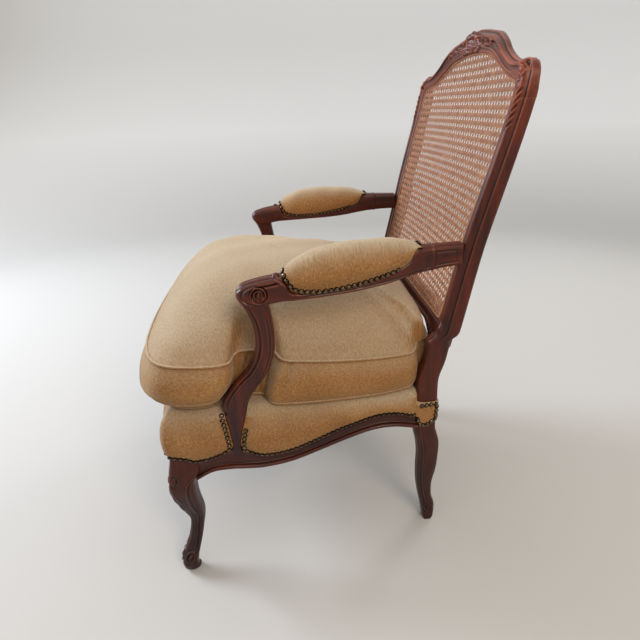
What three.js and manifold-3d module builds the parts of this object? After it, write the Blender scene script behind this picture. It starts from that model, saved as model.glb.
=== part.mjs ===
// A French-style open armchair with a caned back, a loose seat cushion and padded arms.
// Millimetres, +Z up. The chair faces -Y, and +X is on the sitter's left.
import * as THREE from "three";
import { mergeVertices } from "three/addons/utils/BufferGeometryUtils.js";
import Module from "manifold-3d";

const wasm = await Module();
wasm.setup();

// Fits
const jointGap = 0.3; // air kept between pieces that touch
const overrun = 4; // how far a cutting solid runs past what it cuts

// Seat frame
const seatFrontHalf = 305; // centre line to the outer face of a side rail, at the front legs
const seatRearHalf = 262; // the same at the rear posts
const seatFrontY = -290; // outer face of the front rail at the legs
const seatRearY = 252; // outer face of the rear rail
const sideSwell = 5; // how far a side rail bows outwards at its middle
const frontBow = 24; // how far the front rail bows forwards at its middle
const cornerRadius = 12; // corners of the seat frame in plan
const railTop = 345; // top of every seat rail above the floor
const railThick = 27; // rail thickness in plan
const rebateDepth = 1.5; // step that the seat cover is nailed into
const beadProud = 3.5; // bead along the lower edge of the rails
const beadHeight = 9;
const rearRailHeight = 52;
const tenonDrop = 8; // shoulder above the tenon of a rail
const tenonHeight = 24;
const tenonSet = 2; // tenons stand this far inside the middle of a rail

// Front legs
const kneeTop = 262; // top of the carved knee
const kneeOut = 10; // how far the knee swells past the corner of the frame
const kneeDepth = 52;
const legBlockSide = 50; // square block that the rails are tenoned into
const legBlockSet = 2; // the block stands back under the cover

// Rear posts, each a leg and a back stile in one piece
const postDepth = 46; // at seat level, front to back
const postWidth = 34;
const postFootHalf = 237; // centre line to the outer edge of the foot
const stileWidth = 31;
const stileDepth = 40; // front to back, at the foot of the stile
const stileTopDepth = 34; // and at its top, because the back grows thinner upwards
const crestDepth = 27; // crest rail at its hollow panel
const stileFoot = 505; // level where the post turns into the moulded stile
const stileTop = 905; // level of the joint between stile and crest rail
const stileHalf = 274; // centre line to the outer face of the stile, low down
const stileFlare = 9; // the stiles spread by this much towards the top

// Back
const backLevel = 650; // level at which the back's place is measured
const backFront = 264; // front face of the stiles there
const backRake = THREE.MathUtils.degToRad(12.3);
const backBow = 15; // how far the middle of the back is set behind its sides
const backHalf = 283; // half width of the back at the crest rail
const crestRise = 125; // the highest point of the chair above that joint
const crestPeak = stileTop + crestRise;
const lowerRailTop = 512; // top edge of the lower back rail at its middle
const lowerRailHeight = 29;
const lowerRailLift = 13; // its ends rise by this much
const lowerRailFit = 1.6; // shoulder of the lower rail to the stile, which curves there

// Cane
const caneThick = 2.6;
const caneRecess = 9; // cane behind the front face of the stiles
const caneFit = 0.4; // the cane in its groove
const caneTongue = 5; // edge of the cane that sits in a groove of the frame
const caneColumns = 11; // openings across
const caneRows = 12; // openings up
const caneOpenShare = 0.56; // open part of each square of the weave

// Arms
const armSupportTop = 604;
const armFrontHalf = 329; // centre line to the outer face of the scroll
const armScrollWidth = 46;
const armScrollSet = 9; // middle of the scroll behind the line of the arm support
const armScrollReach = 33; // the scroll runs this far in front of its middle
const armRise = 37; // the arm is this much higher at the back than at the scroll
const armEndHeight = 40;
const armEndWidth = 28;
const padCrown = 72; // height of the pad above its seat
const padHalfWidth = 33;
const padFrontSet = 44; // front of the pad behind the middle of the scroll
const padBackSet = 67; // back of the pad before the front face of the stiles
const supportLap = 15; // part of a side rail's thickness taken by the foot of the arm support
const supportThick = 28;
const supportTopWidth = 42; // where it meets the scroll
const supportProud = 1; // its foot stands proud of the rail
const supportDrop = 60; // lower end of the arm support, in the side rail, below the rail's top
const supportFoot = railTop - supportDrop;
const supportSet = 191; // line of the arm support behind the face of the front rail
const tenonLength = 20;
const tenonThick = 11;

// Upholstered deck
const deckFrontRise = 53; // top of the deck above the rails at the front edge
const deckBackRise = 29; // and at the rear posts
const deckFront = railTop + deckFrontRise;
const deckBack = railTop + deckBackRise;
const deckCrown = 20; // its middle is this much higher than its sides
const deckSwell = 9; // how far the cover bulges past the rails
const coverThick = 3;
const postPatchRise = 7; // upper edge of the cover where it is nailed to the posts, over the rails
const postPatchTop = railTop + postPatchRise;
const supportFit = 0.6; // the cover stops this far from the arm supports and posts

// Loose cushion
const cushionRest = 2.2; // air between the deck and the rigid stand-in for a soft cushion
const cushionOverhang = 32; // its front seam before the face of the front rail
const cushionRearSet = 23; // its rear seam before the face of the rear rail
const cushionEarOut = 12; // its ears stand this far outside the side rails
const cushionNotchFit = 9.6; // air between its notches and the feet of the arm supports
const cushionTailFit = 3; // air between its tail and the rear posts
const cushionFrontBox = 110; // height of the boxing at the front
const cushionRearBox = 78;
const cushionCrown = 124; // rise of the top above the seam
const cushionPull = 9; // the boxing bulges this far past its seams
const cushionHang = 28; // and its front hangs forwards by this much more
const cushionCurl = 24; // past the deck, the lower edge of its ears and front curls up by this much
const cushionCurlIn = 12; // and starts this far inside
const cushionTuck = 6; // radius of its lower edge
const cushionCentreShare = 0.472; // highest place of its crown, from front to rear

// Under the seat
const strapWidth = 52;
const strapThick = 1.6;
const strapsAcross = 5;
const strapsAlong = 5;
const cornerBlockSide = 62;
const cornerBlockHeight = 23;
const cornerBlockDrop = 3; // below the top of the rails
const dustCoverThick = 1;

const memberPoints = 14; // points round the shaped members

// Blends neighbouring rows of a table with a smooth curve through every row.
function smoothRows(rows, steps) {
  const rowAt = (i) => rows[Math.min(Math.max(i, 0), rows.length - 1)];
  const blend = (a, b, c, d, t) => {
    const slopeIn = (c - a) / 2;
    const slopeOut = (d - b) / 2;
    const cubic = 2 * b - 2 * c + slopeIn + slopeOut;
    const square = 3 * c - 3 * b - 2 * slopeIn - slopeOut;
    return ((cubic * t + square) * t + slopeIn) * t + b;
  };
  const smooth = [];
  for (let i = 0; i < rows.length - 1; i++) {
    for (let s = 0; s < steps; s++) {
      const mix = (_, k) =>
        blend(rowAt(i - 1)[k], rowAt(i)[k], rowAt(i + 1)[k], rowAt(i + 2)[k], s / steps);
      smooth.push(rows[i].map(mix));
    }
  }
  smooth.push(rows[rows.length - 1]);
  return smooth;
}

// Straight-line reading of one column of a table whose first column rises.
function readRow(rows, key, column) {
  const last = rows.length - 1;
  if (key <= rows[0][0]) return rows[0][column];
  if (key >= rows[last][0]) return rows[last][column];
  const i = rows.findIndex((row) => row[0] > key);
  const t = (key - rows[i - 1][0]) / (rows[i][0] - rows[i - 1][0]);
  return THREE.MathUtils.lerp(rows[i - 1][column], rows[i][column], t);
}

// Turns a closed set of triangles so that its faces point outwards.
function facingOut(geometry) {
  const place = geometry.getAttribute("position");
  const index = geometry.index.array;
  const corners = [new THREE.Vector3(), new THREE.Vector3(), new THREE.Vector3()];
  let volume = 0;
  for (let i = 0; i < index.length; i += 3) {
    corners.forEach((corner, k) => corner.fromBufferAttribute(place, index[i + k]));
    volume += corners[0].dot(corners[1].clone().cross(corners[2]));
  }
  if (volume < 0) index.reverse();
  return geometry;
}

// Joins closed rings of points into one skin, and closes each end with a fan round its middle.
function loft(rings) {
  const count = rings[0].length;
  const last = (rings.length - 1) * count;
  const points = rings.flat();
  const index = [];
  for (let r = 0; r < rings.length - 1; r++) {
    for (let i = 0; i < count; i++) {
      const a = r * count + i;
      const b = r * count + ((i + 1) % count);
      index.push(a, b, b + count);
      index.push(a, b + count, a + count);
    }
  }
  const middle = (ring) =>
    ring.reduce((sum, p) => sum.add(p), new THREE.Vector3()).divideScalar(count);
  points.push(middle(rings[0]), middle(rings[rings.length - 1]));
  for (let i = 0; i < count; i++) {
    const next = (i + 1) % count;
    index.push(points.length - 2, next, i);
    index.push(points.length - 1, last + i, last + next);
  }
  const geometry = new THREE.BufferGeometry().setFromPoints(points);
  geometry.setIndex(new THREE.BufferAttribute(new Uint32Array(index), 1));
  return facingOut(geometry);
}

function solidOf(geometry) {
  const bare = geometry.clone();
  bare.deleteAttribute("normal");
  bare.deleteAttribute("uv");
  const merged = mergeVertices(bare);
  const triVerts = new Uint32Array(merged.index.array);
  const vertProperties = new Float32Array(merged.getAttribute("position").array);
  return new wasm.Manifold(new wasm.Mesh({ numProp: 3, vertProperties, triVerts }));
}

function geometryOf(solid) {
  const mesh = solid.getMesh();
  const geometry = new THREE.BufferGeometry();
  geometry.setAttribute("position", new THREE.BufferAttribute(mesh.vertProperties, mesh.numProp));
  geometry.setIndex(new THREE.BufferAttribute(mesh.triVerts, 1));
  return geometry;
}

// Adds some closed shapes to a body, then cuts others away.
function worked(body, added, cut) {
  let solid = solidOf(body);
  added.forEach((shape) => {
    solid = solid.add(solidOf(shape));
  });
  cut.forEach((shape) => {
    solid = solid.subtract(solidOf(shape));
  });
  return geometryOf(solid);
}

// A straight block between two corners, grown on every side.
function block(low, high, grow = 0) {
  const box = new THREE.Box3(new THREE.Vector3(...low), new THREE.Vector3(...high));
  box.expandByScalar(grow);
  const size = box.getSize(new THREE.Vector3());
  const middle = box.getCenter(new THREE.Vector3());
  return new THREE.BoxGeometry(size.x, size.y, size.z).translate(middle.x, middle.y, middle.z);
}

// A side view, drawn as (y, z) points, pushed through from one x to another.
function sideCut(outline, fromX, toX) {
  const shape = new THREE.Shape(outline.map(([y, z]) => new THREE.Vector2(y, z)));
  const cut = new THREE.ExtrudeGeometry(shape, { depth: toX - fromX, bevelEnabled: false });
  const turn = new THREE.Matrix4().makeBasis(
    new THREE.Vector3(0, 1, 0),
    new THREE.Vector3(0, 0, 1),
    new THREE.Vector3(1, 0, 0),
  );
  return cut.applyMatrix4(turn).translate(fromX, 0, 0);
}

// A rounded square as unit points. Squareness 2 is a circle, and more is squarer.
function roundedSquare(squareness, count = memberPoints) {
  const curve = (c) => Math.sign(c) * Math.abs(c) ** (2 / squareness);
  return Array.from({ length: count }, (_, i) => {
    const angle = Math.PI * (0.75 + (2 * i) / count);
    return [curve(Math.cos(angle)), curve(Math.sin(angle))];
  });
}

// Outer face of a side rail at a place along the seat.
function sideFace(y) {
  const along = (y - seatFrontY) / (seatRearY - seatFrontY);
  const swell = 4 * sideSwell * along * (1 - along);
  return THREE.MathUtils.lerp(seatFrontHalf, seatRearHalf, along) + swell;
}

// Outer face of the front rail at a place across the seat.
function frontFace(x) {
  return seatFrontY - frontBow * Math.max(0, 1 - (x / (seatFrontHalf - legBlockSide)) ** 2);
}

// Front face of the raked and bowed back.
function backFace(x, z) {
  const bow = backBow * (1 - (x / backHalf) ** 2);
  return backFront + (z - backLevel) * Math.tan(backRake) + bow;
}

// Lower edges and nail lines of the rails, as heights above the knee's top
const edgeUnit = railTop - kneeTop;
const cutHalf = Math.max(armFrontHalf, seatFrontHalf + sideSwell + deckSwell) + overrun;
const sideEdgeShares = [
  // along the rail, lower edge, nail line
  [0, -0.26, 0.26],
  [0.07, -0.08, 0.3],
  [0.15, -0.06, 0.44],
  [0.22, -0.1, 0.4],
  [0.3, -0.13, 0.22],
  [0.42, -0.06, 0.26],
  [0.55, 0.15, 0.5],
  [0.68, 0.38, 0.76],
  [0.8, 0.53, 0.92],
  [0.9, 0.52, 0.91],
  [1, 0.38, 0.7],
];
const frontEdgeShares = [
  // from the middle outwards, lower edge, nail line
  [0, -0.34, 0.2],
  [0.12, -0.28, 0.24],
  [0.25, -0.08, 0.34],
  [0.45, 0.06, 0.46],
  [0.65, 0.08, 0.5],
  [0.85, -0.04, 0.48],
  [1, -0.26, 0.42],
];
const sideEdges = smoothRows(sideEdgeShares, 3);
const frontEdges = smoothRows(frontEdgeShares, 3);
const sideRailFront = seatFrontY + legBlockSide;
const postLine = seatRearY - postDepth; // front face of the posts at seat level
const sideRailBack = postLine - jointGap;
const frontRailHalf = seatFrontHalf - legBlockSide;

function sideLevel(y, column) {
  const along = (y - sideRailFront) / (sideRailBack - sideRailFront);
  return kneeTop + edgeUnit * readRow(sideEdges, along, column);
}

function frontLevel(x, column) {
  return kneeTop + edgeUnit * readRow(frontEdges, Math.abs(x) / frontRailHalf, column);
}

// Section of a seat rail: distance outwards from its face, and height.
function railSection(low, nail) {
  const cove = low + beadHeight + (nail - low - beadHeight) / 2;
  return [
    [-railThick, low + beadHeight / 3],
    [-railThick + beadHeight / 3, low],
    [-beadProud / 2, low],
    [beadProud * 0.7, low + beadHeight * 0.15],
    [beadProud, low + beadHeight * 0.5],
    [beadProud * 0.7, low + beadHeight * 0.85],
    [0, low + beadHeight],
    [-beadProud * 0.3, cove],
    [beadProud * 0.3, nail - beadHeight / 2],
    [beadProud * 0.2, nail],
    [-rebateDepth, nail + rebateDepth],
    [-rebateDepth, railTop],
    [-railThick, railTop],
  ];
}

const tenonHigh = railTop - tenonDrop;
const tenonLow = tenonHigh - tenonHeight;

function railTenon(from, to, grow = 0) {
  return block([...from, tenonLow], [...to, tenonHigh], grow);
}

// Each side rail has a tenon at both ends, placed in the middle of its thickness.
function sideTenon(end, grow) {
  const y = end === "front" ? sideRailFront : sideRailBack;
  const x = sideFace(y) - railThick / 2 - tenonSet;
  const reach = end === "front" ? -tenonLength : tenonLength;
  const low = [x - tenonThick / 2, Math.min(y - reach / 4, y + reach)];
  const high = [x + tenonThick / 2, Math.max(y - reach / 4, y + reach)];
  return railTenon(low, high, grow);
}

function frontTenon(grow) {
  const y = seatFrontY + railThick / 2;
  const low = [frontRailHalf - tenonLength / 4, y - tenonThick / 2];
  const high = [frontRailHalf + tenonLength, y + tenonThick / 2];
  return railTenon(low, high, grow);
}

function rearTenon(grow) {
  const x = seatRearHalf - postWidth;
  const y = seatRearY - railThick / 2 - tenonSet / 2;
  const low = [x - tenonLength / 4, y - tenonThick / 2];
  const high = [x + tenonLength, y + tenonThick / 2];
  return railTenon(low, high, grow);
}

function mirrorX(geometry) {
  const mirrored = indexed(geometry).applyMatrix4(new THREE.Matrix4().makeScale(-1, 1, 1));
  mirrored.index.array.reverse();
  return mirrored;
}

// Foot of the arm support, as a side view: it flares where it is let into the side rail.
const supportShares = [
  // height, front edge and rear edge as shares of the lean, outward lean
  [0, -0.93, -0.36, 0],
  [0.045, -0.87, -0.41, 0.02],
  [0.11, -0.79, -0.48, 0.06],
  [0.19, -0.75, -0.44, 0.12],
  [0.28, -0.75, -0.385, 0.2],
  [0.37, -0.77, -0.28, 0.28],
  [0.44, -0.71, -0.15, 0.36],
  [0.52, -0.555, 0.01, 0.46],
  [0.6, -0.32, 0.17, 0.57],
  [0.7, -0.09, 0.31, 0.7],
  [0.79, -0.01, 0.34, 0.8],
  [0.88, 0.015, 0.32, 0.9],
  [0.94, -0.01, 0.3, 0.96],
  [1, -0.09, 0.275, 1],
];
const supportLean = 92; // the arm support leans back by about this much
const supportLine = seatFrontY + supportSet; // line that its curves are measured from
const armScrollY = supportLine + armScrollSet;

function supportAt(z) {
  const height = (z - supportFoot) / (armSupportTop - supportFoot);
  const [front, rear, lean] = [1, 2, 3].map((column) => readRow(supportShares, height, column));
  return {
    z,
    front: supportLine + front * supportLean,
    rear: supportLine + rear * supportLean,
    lean,
  };
}

const supportRows = supportShares.map(([height]) =>
  supportAt(THREE.MathUtils.lerp(supportFoot, armSupportTop, height)),
);

function supportOuter(row) {
  const foot = sideFace((row.front + row.rear) / 2) + supportProud;
  return THREE.MathUtils.lerp(foot, armFrontHalf - supportProud, row.lean);
}

function supportWidth(row) {
  return THREE.MathUtils.lerp(supportThick, supportTopWidth, row.lean ** 3);
}

function supportInner(z) {
  return supportOuter(supportAt(z)) - supportWidth(supportAt(z));
}

// Side view of the support up to a level, grown for the pieces that go round it.
function supportView(top, grow) {
  const low = [...supportRows.filter((row) => row.z < top), supportAt(top)];
  const front = low.map((row) => [row.front - grow, row.z]);
  const rear = low.map((row) => [row.rear + grow, row.z]).reverse();
  front[0][1] -= grow;
  rear[rear.length - 1][1] -= grow;
  return [...front, ...rear];
}

function armSupport() {
  const unit = roundedSquare(4);
  const shoulder = supportAt(railTop + jointGap);
  const footRows = supportRows.filter((row) => row.z < railTop);
  const upRows = supportRows.filter((row) => row.z > shoulder.z + 2 * jointGap);
  const ring = (row, thick) => {
    const outer = supportOuter(row);
    const halfY = (row.rear - row.front) / 2;
    return unit.map(([a, b]) => {
      const x = outer - thick / 2 - (a * thick) / 2;
      return new THREE.Vector3(x, row.front + halfY + b * halfY, row.z);
    });
  };
  const rings = [
    ...footRows.map((row) => ring(row, supportLap)),
    ring(shoulder, supportLap),
    ring(supportAt(shoulder.z + jointGap / 2), supportThick - supportProud),
    ...upRows.map((row) => ring(row, supportWidth(row))),
  ];
  return worked(loft(rings), [armTenon(0)], []);
}

// Tenon from the top of the arm support up into the arm.
function armTenon(grow) {
  const x = armFrontHalf - armScrollWidth / 2;
  const low = [x - tenonThick, armScrollY - tenonThick, armSupportTop - tenonLength / 4];
  const high = [x + tenonThick, armScrollY + tenonThick, armSupportTop + tenonLength];
  return block(low, high, grow);
}

// Tenon from the rear end of the arm into the stile.
function armEndTenon(grow) {
  const x = armEndX();
  const z = armEndLow() + armEndHeight / 2;
  const y = backFace(x, z);
  const low = [x - tenonThick / 2, y - tenonLength / 2, z - tenonThick];
  const high = [x + tenonThick / 2, y + tenonLength, z + tenonThick];
  return block(low, high, grow);
}

function armEndX() {
  return stileHalf - armEndWidth / 2 + supportProud;
}

function armEndLow() {
  return armSupportTop + armRise;
}

const armShares = [
  // along, underside rise, top rise as shares of the arm's rise, place across, width share
  [0, 0.56, 0.82, 0, 0.6],
  [0.008, 0.42, 0.92, 0, 0.82],
  [0.02, 0.27, 1.03, 0, 0.94],
  [0.04, 0.03, 1.12, 0, 1],
  [0.09, 0, 1.26, 0, 1],
  [0.126, 0, 1.33, 0, 1],
  [0.136, 0.17, 1.34, 0, 0.99],
  [0.185, 0.25, 1.41, 0.01, 0.96],
  [0.2, 0.265, 1.34, 0.02, 0.97],
  [0.225, 0.29, 0.82, 0.03, 1.0],
  [0.26, 0.32, 0.68, 0.04, 1.04],
  [0.39, 0.385, 0.7, 0.13, 1.04],
  [0.52, 0.46, 0.84, 0.29, 1.04],
  [0.645, 0.6, 1.12, 0.48, 1.02],
  [0.71, 0.71, 1.38, 0.58, 0.92],
  [0.75, 0.78, 1.62, 0.64, 0.86],
  [0.78, 0.82, 2.14, 0.69, 0.8],
  [0.82, 0.88, 2.12, 0.75, 0.74],
  [0.91, 0.97, 2.1, 0.88, 0.64],
  [1, 1, 2.08, 1, 0.61],
];
const armStart = armScrollY - armScrollReach;
const armRows = armShares.map(([along, low, high, across, width]) => ({
  y: THREE.MathUtils.lerp(armStart, backFace(armEndX(), armEndLow() + armEndHeight / 2), along),
  low: armSupportTop + jointGap + low * armRise,
  high: armSupportTop + jointGap + high * armRise,
  x: THREE.MathUtils.lerp(armFrontHalf - armScrollWidth / 2, armEndX(), across),
  half: (width * armScrollWidth) / 2,
}));

function armrest() {
  const unit = roundedSquare(4.5);
  const rings = armRows.map((row, k) =>
    unit.map(([a, b]) => {
      const x = row.x - a * row.half;
      const z = (row.high + row.low) / 2 + (b * (row.high - row.low)) / 2;
      const y = k === armRows.length - 1 ? backFace(x, z) - jointGap : row.y;
      return new THREE.Vector3(x, y, z);
    }),
  );
  return worked(loft(rings), [armEndTenon(0)], [armTenon(jointGap)]);
}

const padFront = armScrollY + padFrontSet;
const padBack = backFront - padBackSet;
const padShares = [
  // along, half width, crown
  [0, 0.22, 0.1],
  [0.03, 0.46, 0.32],
  [0.09, 0.72, 0.68],
  [0.18, 0.9, 0.88],
  [0.34, 1, 1],
  [0.54, 1, 1],
  [0.74, 0.94, 0.9],
  [0.85, 0.82, 0.76],
  [0.93, 0.6, 0.55],
  [0.98, 0.38, 0.3],
  [1, 0.2, 0.12],
];

// The pad lies in the hollow of the arm: flat below, a low arch above.
function armPad() {
  const seat = armRows.map((row) => [row.y, row.high, row.x]);
  const unit = roundedSquare(2.6);
  const armPlaces = armRows.map((row) => (row.y - padFront) / (padBack - padFront));
  const inside = armPlaces.filter((along) => along > 0 && along < 1);
  const places = [...inside, ...padShares.map((row) => row[0])].sort((a, b) => a - b);
  const rings = places.map((along) => {
    const [width, crown] = [1, 2].map((column) => readRow(padShares, along, column));
    const y = THREE.MathUtils.lerp(padFront, padBack, along);
    const bottom = readRow(seat, y, 1) + jointGap;
    const middle = readRow(seat, y, 2);
    const height = Math.max(padCrown * crown - Math.abs(bottom - readRow(seat, 0, 1)), padCrown / 9);
    return unit.map(([a, b]) => {
      const z = bottom + height * Math.max(0, (b + 0.45) / 1.45);
      return new THREE.Vector3(middle - a * padHalfWidth * width, y, z);
    });
  });
  return loft(rings);
}

const blockFootShare = 1.08; // the plain block starts here above the knee
const frontLegShares = [
  // height, how far out, depth, squareness
  [0, 0.3, 0.48, 2.6],
  [0.03, 1.1, 0.58, 2.6],
  [0.12, 1.3, 0.67, 2.6],
  [0.19, 0.7, 0.65, 2.8],
  [0.28, -0.5, 0.55, 3],
  [0.39, -1.2, 0.54, 3],
  [0.48, -1.3, 0.61, 3.2],
  [0.565, -0.7, 0.74, 3.4],
  [0.69, 0.3, 0.87, 3.6],
  [0.81, 1, 0.98, 3.8],
  [0.92, 0.9, 1, 4],
  [1, 0.8, 1, 4],
  [1.035, 0.5, 0.98, 4.5],
  [1.06, 0, 0.96, 5],
];

function frontLeg() {
  const ring = (z, out, depth, squareness) =>
    roundedSquare(squareness).map(([a, b]) => {
      const front = seatFrontY - out;
      const outer = seatFrontHalf + out;
      return new THREE.Vector3(outer - (depth * (1 + a)) / 2, front + (depth * (1 + b)) / 2, z);
    });
  const carved = smoothRows(frontLegShares, 2).map(([height, out, depth, squareness]) =>
    ring(height * kneeTop, out * kneeOut, depth * kneeDepth, squareness),
  );
  const blockFoot = kneeTop * blockFootShare;
  const plain = [blockFoot, railTop].map((z) =>
    ring(z, -legBlockSet, legBlockSide - legBlockSet - jointGap, 6),
  );
  const mortises = [sideTenon("front", jointGap), frontTenon(jointGap)];
  return worked(loft([...carved, ...plain]), [], mortises);
}

const postLegShares = [
  // height, front edge and rear edge behind the post's front line, in shares of its depth,
  // place of the outer face between foot and seat, width
  [0, 0.88, 1.3, 0, 0.74],
  [0.03, 0.84, 1.39, 0.01, 0.88],
  [0.13, 0.7, 1.39, 0.05, 0.9],
  [0.22, 0.54, 1.2, 0.14, 0.8],
  [0.34, 0.38, 1.14, 0.3, 0.78],
  [0.47, 0.3, 1.26, 0.5, 0.84],
  [0.6, 0.28, 1.28, 0.7, 0.92],
  [0.7, 0.18, 1.24, 0.87, 0.97],
  [0.77, 0.05, 1.1, 0.97, 1],
  [0.83, 0, 0.99, 1, 1],
  [1, 0, 0.99, 1, 1],
];
const postNeckShares = [
  // height from rail top to stile foot, front edge, rear edge, place of the outer face, width
  [0.08, 0, 0.99, 0, 1],
  [0.36, 0.02, 0.98, 0.1, 1],
  [0.6, 0.24, 1.18, 0.3, 0.98],
  [0.78, 0.32, 1.26, 0.55, 0.98],
  [0.92, 0.3, 1.28, 0.85, 0.96],
];
const stileSectionShares = [
  // across from the outer face, depth from the front face
  [0, 0.93],
  [0, 0.75],
  [0, 0.52],
  [0.05, 0.46],
  [0.22, 0.44],
  [0.24, 0.24],
  [0.27, 0.1],
  [0.37, 0.01],
  [0.5, 0],
  [0.64, 0.06],
  [0.74, 0.15],
  [0.82, 0.12],
  [0.92, 0.12],
  [0.99, 0.18],
  [1, 0.4],
  [1, 0.93],
  [0.93, 1],
  [0.07, 1],
];
const sectionPoints = stileSectionShares.length;
const crestTenonShare = 0.64; // places of the tenons in the depth of the stile
const lowerTenonShare = 0.62;
const stileLineShares = [
  // height, how far the outer face has flared
  [0, 0.16],
  [0.1, 0.13],
  [0.36, -0.16],
  [0.63, 0.56],
  [0.9, 0.93],
  [1, 0.96],
];

function stileOuter(z) {
  const along = (z - stileFoot) / (stileTop - stileFoot);
  return stileHalf + stileFlare * readRow(smoothRows(stileLineShares, 3), along, 1);
}

// One ring of the plain part of a rear post, with its edges and width as shares of the post.
function postRing(z, front, rear, outer, width) {
  return roundedSquare(4, sectionPoints).map(([a, b]) => {
    const x = outer - (width * postWidth * (1 + a)) / 2;
    const y = postLine + postDepth * (front + ((rear - front) * (1 + b)) / 2);
    return new THREE.Vector3(x, y, z);
  });
}

function stileDepthAt(z) {
  const along = THREE.MathUtils.clamp((z - stileFoot) / (stileTop - stileFoot), 0, 1);
  return THREE.MathUtils.lerp(stileDepth, stileTopDepth, along);
}

function stileRing(z) {
  const outer = stileOuter(z);
  return stileSectionShares.map(([across, depth]) => {
    const x = outer - across * stileWidth;
    return new THREE.Vector3(x, backFace(x, z) + depth * stileDepthAt(z), z);
  });
}

function rearPost() {
  const leg = smoothRows(postLegShares, 2).map(([height, front, rear, place, width]) => {
    const outer = THREE.MathUtils.lerp(postFootHalf, seatRearHalf, place);
    return postRing(height * railTop, front, rear, outer, width);
  });
  const neck = postNeckShares.map(([height, front, rear, place, width]) => {
    const outer = THREE.MathUtils.lerp(seatRearHalf, stileOuter(stileFoot), place);
    return postRing(THREE.MathUtils.lerp(railTop, stileFoot, height), front, rear, outer, width);
  });
  const stations = 8;
  const stile = Array.from({ length: stations + 1 }, (_, k) =>
    stileRing(THREE.MathUtils.lerp(stileFoot, stileTop, k / stations)),
  );
  const cuts = [
    sideTenon("back", jointGap),
    rearTenon(jointGap),
    armEndTenon(jointGap),
    canePanel(caneFit, false),
    lowerRailTenon(jointGap),
  ];
  return worked(loft([...leg, ...neck, ...stile]), [crestTenon(0)], cuts);
}

// Tenon from the top of each stile up into the crest rail.
function crestTenon(grow) {
  const x = stileOuter(stileTop) - stileWidth / 2;
  const y = backFace(x, stileTop) + stileTopDepth * crestTenonShare;
  const low = [x - tenonThick / 2, y - tenonThick / 2, stileTop - tenonLength / 4];
  const high = [x + tenonThick / 2, y + tenonThick / 2, stileTop + tenonLength];
  return block(low, high, grow);
}

// Tenon from each end of the lower back rail into the stile.
function lowerRailTenon(grow) {
  const z = lowerRailTop + lowerRailLift - lowerRailHeight / 2;
  const x = stileOuter(z) - stileWidth;
  const y = backFace(x, z) + stileDepth * lowerTenonShare;
  const low = [x - tenonLength / 4, y - tenonThick / 2, z - tenonThick];
  const high = [x + tenonLength, y + tenonThick / 2, z + tenonThick];
  return block(low, high, grow);
}

const crestShares = [
  // outer edge across and up, inner edge across and up, how far the section is a hollow panel
  [1, 0, 0.89, 0, 0],
  [1, 0.16, 0.886, 0.1, 0],
  [0.99, 0.32, 0.872, 0.17, 0],
  [0.95, 0.42, 0.843, 0.21, 0.1],
  [0.885, 0.46, 0.797, 0.24, 0.3],
  [0.797, 0.45, 0.737, 0.27, 0.6],
  [0.71, 0.49, 0.666, 0.32, 0.9],
  [0.6, 0.6, 0.567, 0.41, 1],
  [0.5, 0.75, 0.468, 0.5, 1],
  [0.375, 0.86, 0.36, 0.59, 1],
  [0.23, 0.925, 0.226, 0.64, 1],
  [0.107, 0.98, 0.106, 0.665, 1],
  [0, 1, 0, 0.672, 1],
];
const panelSectionShares = [
  [0, 0.93],
  [0, 0.75],
  [0, 0.52],
  [0.03, 0.46],
  [0.13, 0.44],
  [0.14, 0.24],
  [0.16, 0.08],
  [0.22, -0.02],
  [0.32, 0],
  [0.42, 0.14],
  [0.6, 0.2],
  [0.74, 0.14],
  [0.9, 0.12],
  [0.99, 0.18],
  [1, 0.4],
  [1, 0.93],
  [0.95, 1],
  [0.05, 1],
];

function crestPoint(acrossShare, upShare) {
  return [acrossShare * backHalf, stileTop + upShare * (crestPeak - stileTop)];
}

function crestRail() {
  const other = crestShares.slice(0, -1).map(([xo, zo, xi, zi, hollow]) => [-xo, zo, -xi, zi, hollow]);
  const rows = [...crestShares, ...other.reverse()];
  const rings = rows.map(([outAcross, outUp, inAcross, inUp, hollow], k) => {
    const [xo, zo] = crestPoint(outAcross, outUp);
    const [xi, zi] = crestPoint(inAcross, inUp);
    const lift = k === 0 || k === rows.length - 1 ? jointGap : 0;
    return stileSectionShares.map(([plainAcross, plainDepth], i) => {
      const across = THREE.MathUtils.lerp(plainAcross, panelSectionShares[i][0], hollow);
      const panelDepth = panelSectionShares[i][1] * crestDepth;
      const depth = THREE.MathUtils.lerp(plainDepth * stileTopDepth, panelDepth, hollow);
      const x = THREE.MathUtils.lerp(xo, xi, across);
      const z = THREE.MathUtils.lerp(zo, zi, across) + lift;
      return new THREE.Vector3(x, backFace(x, z) + depth, z);
    });
  });
  const mortise = crestTenon(jointGap);
  const otherMortise = mirrorX(crestTenon(jointGap));
  const groove = canePanel(caneFit, false);
  return worked(loft(rings), [], [mortise, otherMortise, groove]);
}

function lowerRailEdge(x) {
  return lowerRailTop + lowerRailLift * (x / (stileHalf - stileWidth)) ** 2;
}

function lowerBackRail() {
  const endZ = lowerRailTop + lowerRailLift - lowerRailHeight / 2;
  const half = stileOuter(endZ) - stileWidth - lowerRailFit;
  const stations = 10;
  const rings = Array.from({ length: stations + 1 }, (_, k) => {
    const x = THREE.MathUtils.lerp(-half, half, k / stations);
    return stileSectionShares.map(([across, depth]) => {
      const z = lowerRailEdge(x) - (1 - across) * lowerRailHeight;
      return new THREE.Vector3(x, backFace(x, z) + depth * stileDepthAt(z), z);
    });
  });
  const tenons = [lowerRailTenon(0), mirrorX(lowerRailTenon(0))];
  return worked(loft(rings), tenons, [canePanel(caneFit, false)]);
}

// Upper edge of the cane, read from the inner edge of the crest rail.
const archRows = crestShares.map(([, , across, up]) => crestPoint(across, up)).reverse();

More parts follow.
